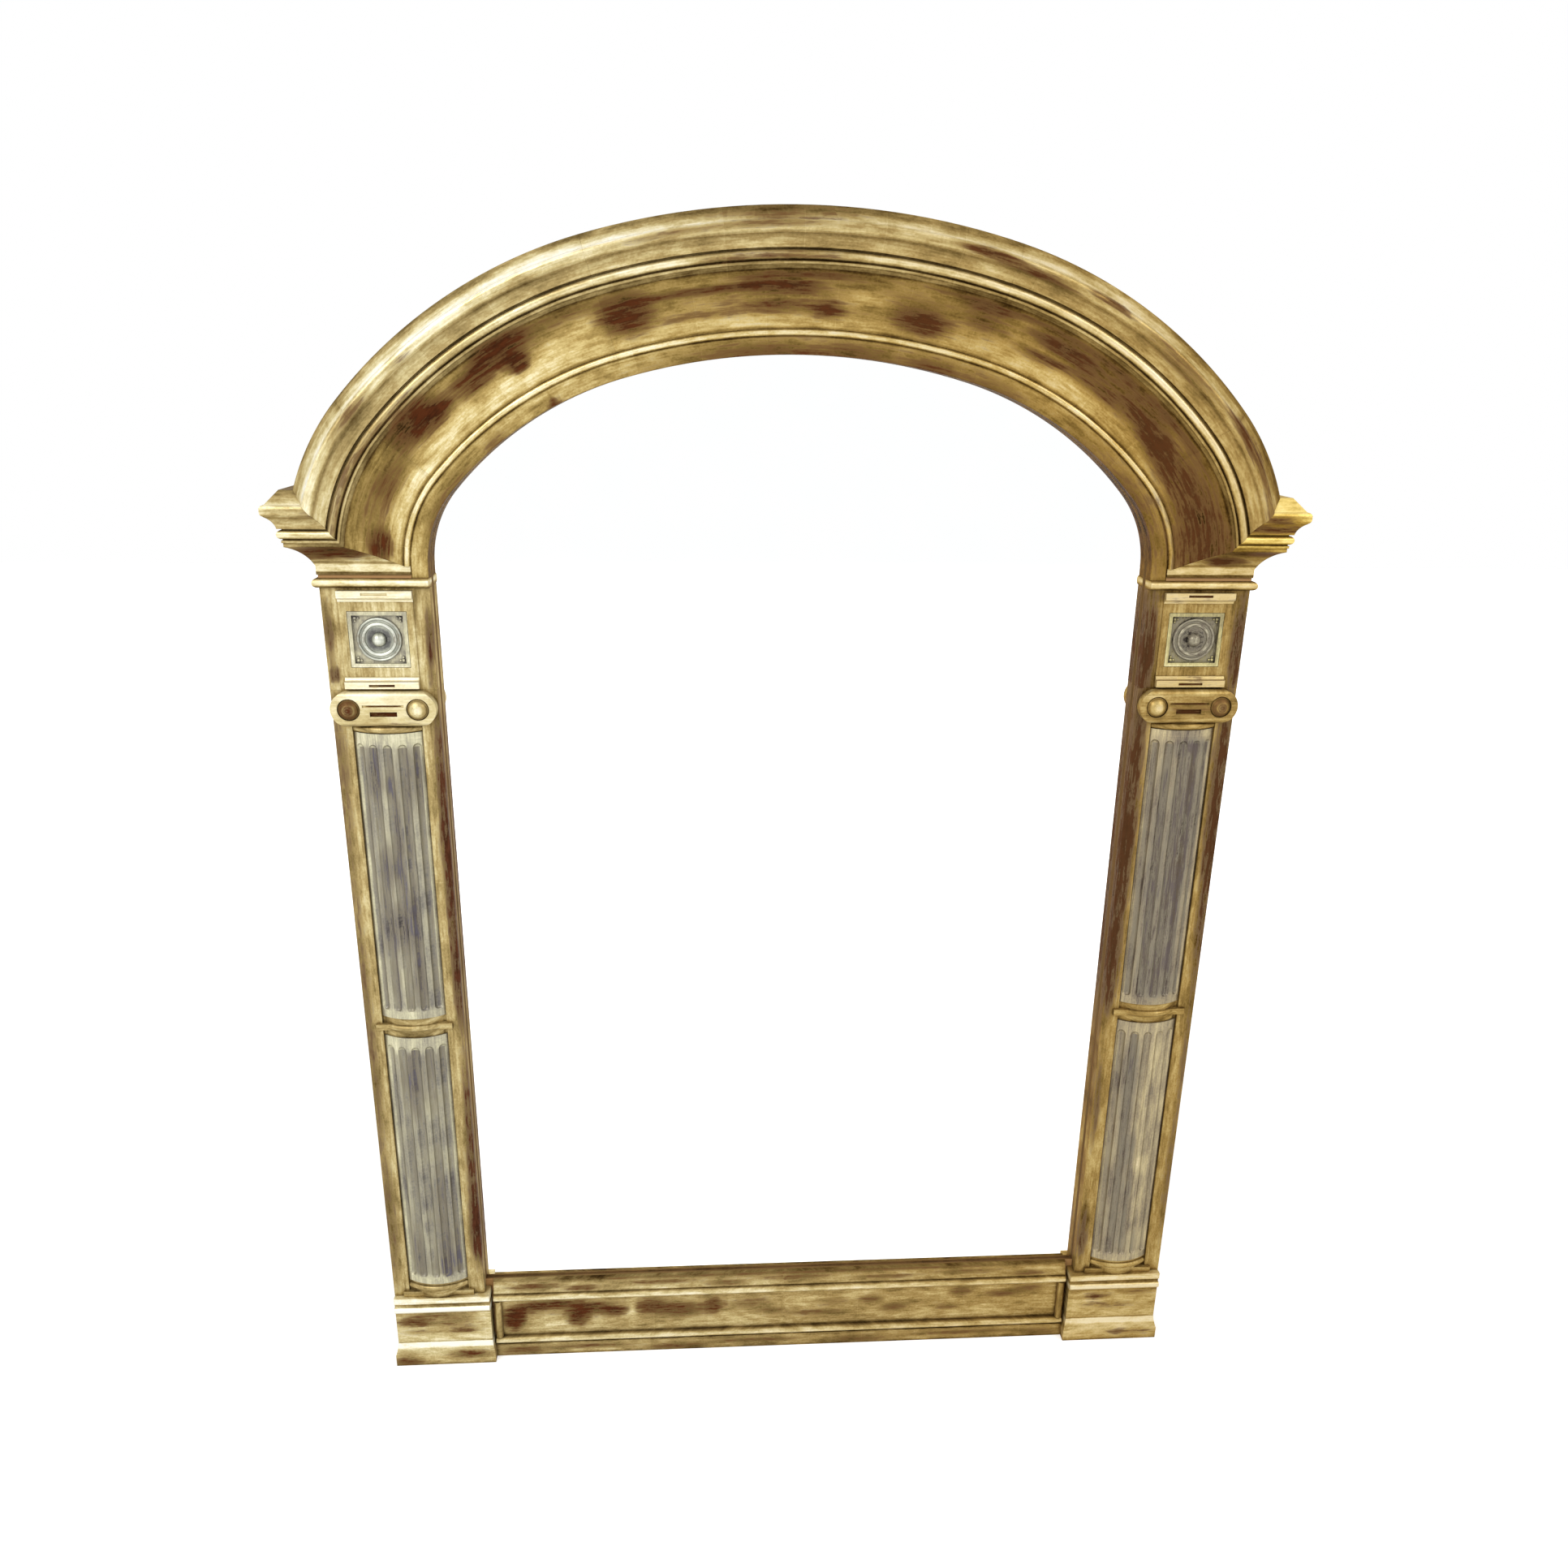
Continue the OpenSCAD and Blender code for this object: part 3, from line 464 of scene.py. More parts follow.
    def _squares(self, tree: Tree, run: Socket) -> Socket:
        """The tone of each square of leaf, with a paler line where one laps over the next.

        Args:
            tree: the node tree.
            run: the socket of the map.

        Returns:
            The socket of the tone.
        """
        settings = {
            "Scale": 1.0, "Brick Width": self.leaf_mm * MM, "Row Height": self.leaf_mm * MM,
            "Mortar Size": 0.6 * MM, "Mortar Smooth": 0.8, "Bias": 0.0,
            "Color1": (0.1, 0.1, 0.1, 1), "Color2": (0.9, 0.9, 0.9, 1), "Mortar": (1, 1, 1, 1),
        }
        return add(tree, "TexBrick", settings, Vector=run).outputs["Color"]

    def _profile(self, tree: Tree, run: Socket) -> Socket:
        """Tone by place across the section: painted highlight on fillets and beads, painted shade in
        quirks.

        Args:
            tree: the node tree.
            run: the socket of the map.

        Returns:
            The socket of the tone.
        """
        low, high = self.profile[0][0], self.profile[-1][0]
        across = add(tree, "SeparateXYZ", Vector=run).outputs["Y"]
        place = add(tree, "MapRange", {"From Min": low * MM, "From Max": high * MM}, Value=across)
        ramp = add(tree, "ValToRGB", i0=place.outputs["Result"])
        set_ramp(
            ramp,
            [((mm - low) / (high - low), (0.5 + tone / 2,) * 3 + (1.0,)) for mm, tone in self.profile],
        )
        return ramp.outputs["Color"]

    def _right_hand(self, tree: Tree) -> Socket:
        """From 0 on the left-hand side of the mirror to 1 on its right-hand side."""
        at = add(tree, "SeparateXYZ", Vector=add(tree, "TexCoord").outputs["Object"]).outputs["X"]
        return eased(tree, at, *self.turn_at)


GOLD_TONES = (
    (0.0, "35250F"), (0.16, "5E4B2A"), (0.34, "88754A"), (0.5, "AF9966"), (0.64, "CFBF8C"),
    (0.8, "EEE3BC"), (1.0, "FFFDEE"),
)
COVE_TONES = (
    (0.0, "35250F"), (0.16, "5F4A26"), (0.34, "8B7440"), (0.5, "B2985C"), (0.64, "D2BD80"),
    (0.8, "EFE3B8"), (1.0, "FFFDEE"),
)
SILVER_TONES = (
    (0.0, "4A4444"), (0.2, "716C68"), (0.36, "918C7E"), (0.52, "AFA992"), (0.68, "C9C4A4"),
    (0.84, "E0DABC"), (1.0, "F8F7E4"),
)

# Tone across each moulding's section, in mm and from -1 to 1: painted highlight on fillets, beads and
# noses, painted shade in quirks and under overhangs, with some of the piece's own tone
COVE_TONE_AND_LIGHT = (
    (-24, -0.75), (-1.5, -0.6), (0.0, -0.3), (1.5, -0.05), (12, 0.0), (19.0, 0.1), (20.6, -0.7),
    (21.8, 0.1), (23.6, 0.66), (26.4, 0.66), (28.2, 0.1), (29.6, -0.4), (33, 0.22), (45, 0.15),
    (64, -0.05), (82, -0.18), (90.5, -0.35), (93.4, -0.9),
)
CAP_TONE_AND_LIGHT = (
    (92.6, -0.8), (94.0, -0.3), (97.4, -0.2), (98.2, 0.1), (99.5, 0.3), (100.8, 0.1), (101.4, -0.5),
    (102.4, -0.5), (103.6, 0.1), (106.2, 0.6), (109.6, 0.65), (112.0, 0.3), (113.6, 0.15),
    (114.6, 0.0), (116.0, 0.15), (120, 0.15), (126, 0.1), (129.4, -0.2), (131, 0.15), (134, 0.45),
    (138, 0.3), (141.5, 0.45), (143.6, 0.85), (147, 0.5), (151, 0.1), (155, -0.25), (165, -0.35),
    (210, -0.45),
)
EAR_COVE_TONE_AND_LIGHT = (
    (-1, -0.8), (1.2, -0.5), (3.4, -0.6), (4.6, 0.4), (8, 0.55), (13.2, 0.3), (15.2, -0.5),
    (18, 0.05), (27, 0.0), (36, -0.15), (40.2, -0.5), (41.5, -0.8),
)
# By distance from the centre of a roundel: painted highlight on the domed eye, painted shade in the
# dish round it, ring, dish, rim
ROUNDEL_TONE_AND_LIGHT = (
    (0, 0.5), (4, 0.2), (7.5, -0.1), (9.3, -0.6), (12.5, -0.8), (15.5, -0.35), (17.2, 0.2),
    (19.6, 0.55), (22, 0.35), (23.4, 0.0), (24.6, 0.15), (26.2, 0.35), (27.4, 0.0), (28.2, -0.4),
)
# By distance from the centre of a boss: painted highlight on the domed middle, painted shade in the
# quirk, rim
BOSS_TONE_AND_LIGHT = (
    (0, 0.5), (4, 0.35), (8, 0.05), (10.5, -0.3), (11.6, -0.55), (12.8, 0.1), (14, 0.3), (15, -0.4),
)
# By height above the astragal's foot: painted shade under it, painted highlight on its nose
ASTRAGAL_TONE_AND_LIGHT = (
    (-1, -0.9), (1.2, -0.5), (3.5, 0.15), (6.5, 0.7), (9.5, 0.5), (11.4, -0.3), (13, -0.7),
)
# By height above the foot of the mirror: painted highlights on beads and fillets, painted shade in
# quirks
PLINTH_TONE_AND_LIGHT = (
    (0, -0.45), (3, -0.15), (9, 0.1), (20, 0.15), (27.5, 0.15), (30, 0.85), (36.6, 1.0),
    (38.6, 0.0), (42, 0.1), (60, 0.15), (86, 0.05), (92, -0.25), (94.6, 0.55), (98.5, 1.0),
    (103.6, 0.9), (105.8, -0.1), (107.5, -0.45), (110.6, -0.3), (112.2, 0.5), (116, 0.7),
    (121, 0.35), (123, -0.1), (135, 0.0),
)
# By height above the foot of the mirror: painted highlights on the rail's beads, painted shade in its
# quirks
RAIL_TONE_AND_LIGHT = (
    (0, -0.3), (5, -0.08), (18, 0.0), (21.6, -0.36), (23.4, 0.3), (27.5, 0.62), (31, 0.28),
    (33.2, -0.3), (36.5, 0.06), (97, 0.04), (100.4, -0.34), (102.4, 0.4), (106.5, 0.7), (110, 0.32),
    (112.2, -0.36), (115, 0.12), (124, 0.1), (129.5, -0.12), (132.4, -0.45), (134.4, -0.6),
)

GOLD = Leaf(
    "gold_leaf_burnished", GOLD_TONES, bole="5C2E18", bole_dark="3A1B0F", bole_right="5A3A1F",
    film="6F5030", warm="E6D8BC",
)
STILE = replace(GOLD, name="gold_leaf_stile", film="755E44", bole="5A3120", bole_right="55391F")
COVE = replace(
    GOLD, name="gold_leaf_cove", tones=COVE_TONES, profile=COVE_TONE_AND_LIGHT, base=0.475, wear=0.04
)
CAP = replace(GOLD, name="gold_leaf_cap", profile=CAP_TONE_AND_LIGHT, base=0.45)
# The right-hand ear is the yellowest piece, under the strongest painted warm light
EAR_CAP_RIGHT = replace(GOLD, name="gold_leaf_ear_cap", profile=CAP_TONE_AND_LIGHT, warm="FFECAC")
EAR_COVE = replace(GOLD, name="gold_leaf_ear_cove", profile=EAR_COVE_TONE_AND_LIGHT)
ASTRAGAL = replace(GOLD, name="gold_leaf_astragal", profile=ASTRAGAL_TONE_AND_LIGHT)
TABLET = replace(GOLD, name="gold_leaf_tablet", base=0.82, wear=-0.12, mottle=0.7)
CUSHION = replace(GOLD, name="gold_leaf_cushion", base=0.66, wear=-0.16, mottle=0.6, leaf_mm=500.0)
BOSS = replace(
    GOLD, name="gold_leaf_turned", base=0.56, mottle=0.8, leaf_mm=500.0, profile=BOSS_TONE_AND_LIGHT
)
RAIL = replace(
    GOLD, name="gold_leaf_rail", profile=RAIL_TONE_AND_LIGHT, streak_mm=(44.0, 3.4), short_mm=(13.0, 3.2)
)
PLINTH = replace(RAIL, name="gold_leaf_plinth", profile=PLINTH_TONE_AND_LIGHT, base=0.58)
# The faces inside the opening: darker, matte leaf, partly painted shade
SIGHT_EDGE = replace(
    GOLD, name="gold_leaf_sight_edge", base=0.3, wear=0.35, metallic=0.0, roughness=0.6, mottle=0.5
)
SILVER = Leaf(
    "silver_leaf_toned", SILVER_TONES, edge="8C8874", bole="6E6A76", bole_dark="5E5348",
    bole_right="716150", film="8C8472", warm="F5E8D8", roughness=0.38, hollow_mm=4.0,
    streak_mm=(110.0, 1.7), short_mm=(26.0, 1.6), cloud_mm=(70.0, 30.0), broken_mm=(40.0, 7.0),
    leaf_mm=500.0, mottle=1.15,
)
TILE = replace(
    SILVER, name="silver_leaf_tile", warm="EEE6C4", base=0.53, short_mm=(6.0, 3.0),
    streak_mm=(20.0, 4.0), wear=-0.1, broken_mm=(9.0, 6.0), mottle=1.0, bole="66625C",
    bole_dark="514D46",
)
ROUNDEL = replace(
    SILVER, name="silver_leaf_turned", tones=(
        (0.0, "3E3B3A"), (0.25, "73736F"), (0.5, "ABAD9E"), (0.75, "DADCCF"), (1.0, "FCFCF6"),
    ), bole="6A6464", bole_dark="4A4340", base=0.6, hollow_mm=7.0, short_mm=(8.0, 3.0),
    streak_mm=(14.0, 3.0), wear=-0.15, metallic=0.6, broken_mm=(8.0, 5.0), mottle=0.8,
    profile=ROUNDEL_TONE_AND_LIGHT,
)


@dataclass(frozen=True)
class Pine:
    """Sawn and planed pine, darkened with age: warm growth bands and fine dark lines along it."""

    name: str
    pale: str
    dark: str
    grain: Grain
    band_mm: float = 9.0
    roughness: float = 0.72

    def material(self) -> Material:
        """Builds the finish as a node material.

        Returns:
            The material, which reads object coordinates.
        """
        material, tree, shader = new_material(self.name)
        place = add(tree, "TexCoord").outputs["Object"]
        scale = tuple(s / (self.band_mm * MM * max(self.grain.value)) for s in self.grain.value)
        placed = add(tree, "Mapping", {"Scale": scale}, Vector=place).outputs["Vector"]
        bands = add(tree, "TexNoise", {"Scale": 1.0, "Detail": 6.0, "Distortion": 0.6}, Vector=placed)
        fine_scale = tuple(s * 5 for s in scale)
        fine_at = add(tree, "Mapping", {"Scale": fine_scale}, Vector=place).outputs["Vector"]
        fine = add(tree, "TexNoise", {"Scale": 1.0, "Detail": 4.0}, Vector=fine_at)
        mixed = weighted(tree, 0.5, (bands.outputs[0], 1.0, MEAN), (fine.outputs[0], 0.5, MEAN))
        ramp = add(tree, "ValToRGB", i0=mixed)
        set_ramp(ramp, [(0.3, linear(self.dark)), (0.48, linear(self.pale)), (0.8, linear(self.pale))])
        tree.links.new(ramp.outputs["Color"], shader.inputs["Base Color"])
        shader.inputs["Roughness"].default_value = self.roughness
        bump = add(tree, "Bump", {"Strength": 0.3, "Distance": 0.4 * MM}, Height=fine.outputs[0])
        tree.links.new(bump.outputs["Normal"], shader.inputs["Normal"])
        return material


@dataclass(frozen=True)
class PlainMetal:
    """A metal with a worked surface: fine marks change its gloss, and its colour drifts a little."""

    name: str
    pale: str
    dark: str
    roughness: float
    mark_mm: float

    def material(self) -> Material:
        """Builds the finish as a node material.

        Returns:
            The material, which reads object coordinates.
        """
        material, tree, shader = new_material(self.name)
        place = add(tree, "TexCoord").outputs["Object"]
        marks = add(tree, "TexNoise", {"Scale": 1 / (self.mark_mm * MM), "Detail": 4.0}, Vector=place)
        ramp = add(tree, "ValToRGB", i0=marks.outputs[0])
        set_ramp(ramp, [(0.3, linear(self.dark)), (0.7, linear(self.pale))])
        tree.links.new(ramp.outputs["Color"], shader.inputs["Base Color"])
        gloss = weighted(tree, self.roughness, (marks.outputs[0], self.roughness * 0.5, MEAN))
        tree.links.new(gloss, shader.inputs["Roughness"])
        shader.inputs["Metallic"].default_value = 1.0
        return material


# ---- Mesh helpers ----


def linked(name: str, data: bpy.types.ID) -> Object:
    """Makes an object of its data, such as a mesh or a lamp, and links it to the scene.

    Args:
        name: the object's name.
        data: what it shows.

    Returns:
        The new object.
    """
    made = bpy.data.objects.new(name, data)
    bpy.context.scene.collection.objects.link(made)
    return made


def cut(bm: BMesh, at: Vector, normal: Vector) -> None:
    """Cuts every face of a mesh where a plane crosses it.

    Args:
        bm: the mesh to cut.
        at: a point of the plane.
        normal: the plane's normal.
    """
    geom = bm.verts[:] + bm.edges[:] + bm.faces[:]
    bmesh.ops.bisect_plane(bm, geom=geom, dist=MERGE, plane_co=at, plane_no=normal)


def slices(bm: BMesh, axis: int, step: float) -> None:
    """Cuts a mesh across an axis at even places, so that rubbing can vary along it.

    Args:
        bm: the mesh to cut.
        axis: 0, 1 or 2 for X, Y or Z.
        step: distance between cuts, in metres.
    """
    places = [v.co[axis] for v in bm.verts]
    low, high = min(places), max(places)
    count = max(1, round((high - low) / step))
    normal = Vector([float(i == axis) for i in range(3)])
    for i in range(1, count):
        cut(bm, normal * (low + (high - low) * i / count), normal)


def spokes(bm: BMesh, centre: Vector, reach: float, count: int = 12) -> None:
    """Cuts a turned piece that faces the front by planes through its axis.

    Args:
        bm: the mesh to cut.
        centre: a point on the axis.
        reach: how far from the axis the faces lie that are cut.
        count: number of planes.
    """
    for i in range(count):
        near = [f for f in bm.faces if math.hypot(*(f.calc_center_median() - centre).xz) < reach]
        geom = {*near} | {e for f in near for e in f.edges} | {v for f in near for v in f.verts}
        turn = math.pi * i / count
        normal = Vector((math.cos(turn), 0, math.sin(turn)))
        bmesh.ops.bisect_plane(bm, geom=list(geom), dist=MERGE, plane_co=centre, plane_no=normal)


def copied(node: Object, flat_angle: float = 0.2) -> BMesh:
    """Copies a node's mesh, merges its loose triangles and joins those that lie in one plane.

    Args:
        node: the frame node.
        flat_angle: how far faces may lean, in degrees, and still count as one plane.

    Returns:
        The copy.
    """
    bm = bmesh.new()
    bm.from_mesh(node.data)
    bmesh.ops.remove_doubles(bm, verts=bm.verts, dist=MERGE)
    bmesh.ops.dissolve_limit(
        bm, angle_limit=math.radians(flat_angle), verts=bm.verts, edges=bm.edges,
        use_dissolve_boundaries=False,
    )
    return bm


def finish_mesh(
    name: str,
    bm: BMesh,
    finishes: Sequence[Material],
    marker: Marker,
    rubs_and_highlights: Sequence[Patch] = (),
    soften: float = 0.8 * MM,
    worn: WearAndLight | None = None,
) -> Object:
    """Turns a mesh to an object with its run map, its rubbing and painted light, soft arrises and a
    material.

    Args:
        name: the piece's name.
        bm: the mesh, which is freed.
        finishes: the finishes, in the order of the faces' material indexes.
        marker: gives the place along and across the moulding for a vertex.
        rubs_and_highlights: the rubbed places of the piece, and its painted highlights.
        soften: width of the rounding on each arris, in metres, or 0 for none.
        worn: further rubbing, painted highlight and painted shade at a vertex.

    Returns:
        The new object, riding on the body.
    """
    bmesh.ops.recalc_face_normals(bm, faces=bm.faces)
    rub_and_light = bm.verts.layers.float.new(RUB_AND_LIGHT)
    run_map = bm.loops.layers.uv.new(RUN_MAP)
    for vert in bm.verts:
        run, across = marker(vert.co)
        vert[rub_and_light] = sum(patch.at(run, across) for patch in rubs_and_highlights) + (worn(vert.co) if worn else 0.0)
    for face in bm.faces:
        face.smooth = True
        for loop in face.loops:
            loop[run_map].uv = marker(loop.vert.co)
    mesh = bpy.data.meshes.new(name)
    bm.to_mesh(mesh)
    bm.free()
    mesh.set_sharp_from_angle(angle=ARRIS)
    for finish in finishes:
        mesh.materials.append(finish)
    piece = linked(name, mesh)
    if soften:
        bevel = piece.modifiers.new("soft arrises", "BEVEL")
        bevel.width = soften
        bevel.segments = 2
        bevel.limit_method = "ANGLE"
        bevel.angle_limit = ARRIS
        bevel.harden_normals = True
    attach(piece, BODY)
    return piece


# ---- The arch's own geometry ----


@dataclass
class ArchPlan:
    """The five-centred arch of the sight edge, in metres, as the mouldings follow it."""

    half_sight: float
    spring_z: float
    rise: float
    haunch_r: float = 0.140
    haunch_turn: float = math.radians(41)
    crown_start: float = math.radians(74)
    # How far outside the sight edge its length is measured
    reference: float = 0.060
    # How far an arc's faces may lie past its ends, and past the middle of the arch
    past_end: float = math.radians(3)
    past_middle: float = 20 * MM

    def __post_init__(self) -> None:
        """Works out the radii and centres from the tangent arcs."""
        turn_a = math.cos(self.haunch_turn) - math.cos(self.crown_start)
        turn_b = math.sin(self.crown_start) - math.sin(self.haunch_turn)
        flat_a = math.cos(self.crown_start)
        flat_b = 1 - math.sin(self.crown_start)
        reach_a = self.half_sight - self.haunch_r * (1 - math.cos(self.haunch_turn))
        reach_b = self.rise - self.haunch_r * math.sin(self.haunch_turn)
        det = turn_a * flat_b - flat_a * turn_b
        self.shoulder_r = (reach_a * flat_b - flat_a * reach_b) / det
        self.crown_r = (turn_a * reach_b - turn_b * reach_a) / det
        haunch_c = Vector((self.half_sight - self.haunch_r, self.spring_z))
        away = Vector((math.cos(self.haunch_turn), math.sin(self.haunch_turn)))
        shoulder_c = haunch_c + away * (self.haunch_r - self.shoulder_r)
        crown_c = Vector((0.0, self.spring_z + self.rise - self.crown_r))
        # For each arc its centre, its radius, the angles where it starts and ends, and the run at its
        # upper end
        self.arcs: list[tuple[Vector, float, float, float, float]] = []
        run, high = 0.0, math.pi / 2
        for centre, radius, low in (
            (crown_c, self.crown_r, self.crown_start),
            (shoulder_c, self.shoulder_r, self.haunch_turn),
            (haunch_c, self.haunch_r, 0.0),
        ):
            self.arcs.append((centre, radius, low, high, run))
            run += (high - low) * (radius + self.reference)
            high = low
        self.haunch_run = run

    def locate(self, x: float, z: float) -> tuple[float, float]:
        """The place of a point of the front view along the arch and across it.

        Args:
            x: its place across the mirror.
            z: its height.

        Returns:
            The distance along the arch from the crown, positive to the right, and the distance
            outwards from the sight edge.
        """
        slack = 1e-4
        way = 1.0 if x >= 0 else -1.0
        at = Vector((abs(x), z))
        for centre, radius, low, high, run in self.arcs:
            out = at - centre
            turn = math.atan2(out.y, out.x)
            if turn >= low - slack:
                length = run + (high - turn) * (radius + self.reference)
                return way * length, out.length - radius
        return way * (self.haunch_run + self.spring_z - z), abs(x) - self.half_sight

    def cut_across(self, bm: BMesh, step: float = 10 * MM) -> None:
        """Cuts a moulding of the arch square to its run, at even steps of the run.

        Each arc's cuts pass through its own centre, and cross only the faces that lie on it.

        Args:
            bm: the moulding's mesh.
            step: distance between cuts, in metres.
        """
        for way in (-1.0, 1.0):
            for centre, radius, low, high, _ in self.arcs:
                count = max(2, round((high - low) * (radius + self.reference) / step))
                for i in range(count + 1):
                    turn = low + (high - low) * i / count
                    self._cut_at(bm, centre, way, turn, low, high)

    def _cut_at(
        self, bm: BMesh, centre: Vector, way: float, turn: float, low: float, high: float
    ) -> None:
        """Cuts the faces of one arc with one plane through the arc's centre.

        Args:
            bm: the moulding's mesh.
            centre: the arc's centre in the front view of the right-hand half.
            way: 1 for the right-hand half and -1 for the left-hand one.
            turn: the plane's angle.
            low: the angle where the arc starts.
            high: the angle where it ends.
        """
        near = []
        for face in bm.faces:
            at = face.calc_center_median()
            if at.x * way < -self.past_middle:
                continue
            lean = math.atan2(at.z - centre.y, at.x * way - centre.x)
            if low - self.past_end <= lean <= high + self.past_end:
                near.append(face)
        if not near:
            return
        edges = {edge for face in near for edge in face.edges}
        verts = {vert for face in near for vert in face.verts}
        origin = Vector((centre.x * way, 0, centre.y))
        normal = Vector((-math.sin(turn) * way, 0, math.cos(turn)))
        bmesh.ops.bisect_plane(
            bm, geom=[*verts, *edges, *near], dist=MERGE, plane_co=origin, plane_no=normal
        )


# ---- Where the leaf is rubbed, and where highlights are painted ----

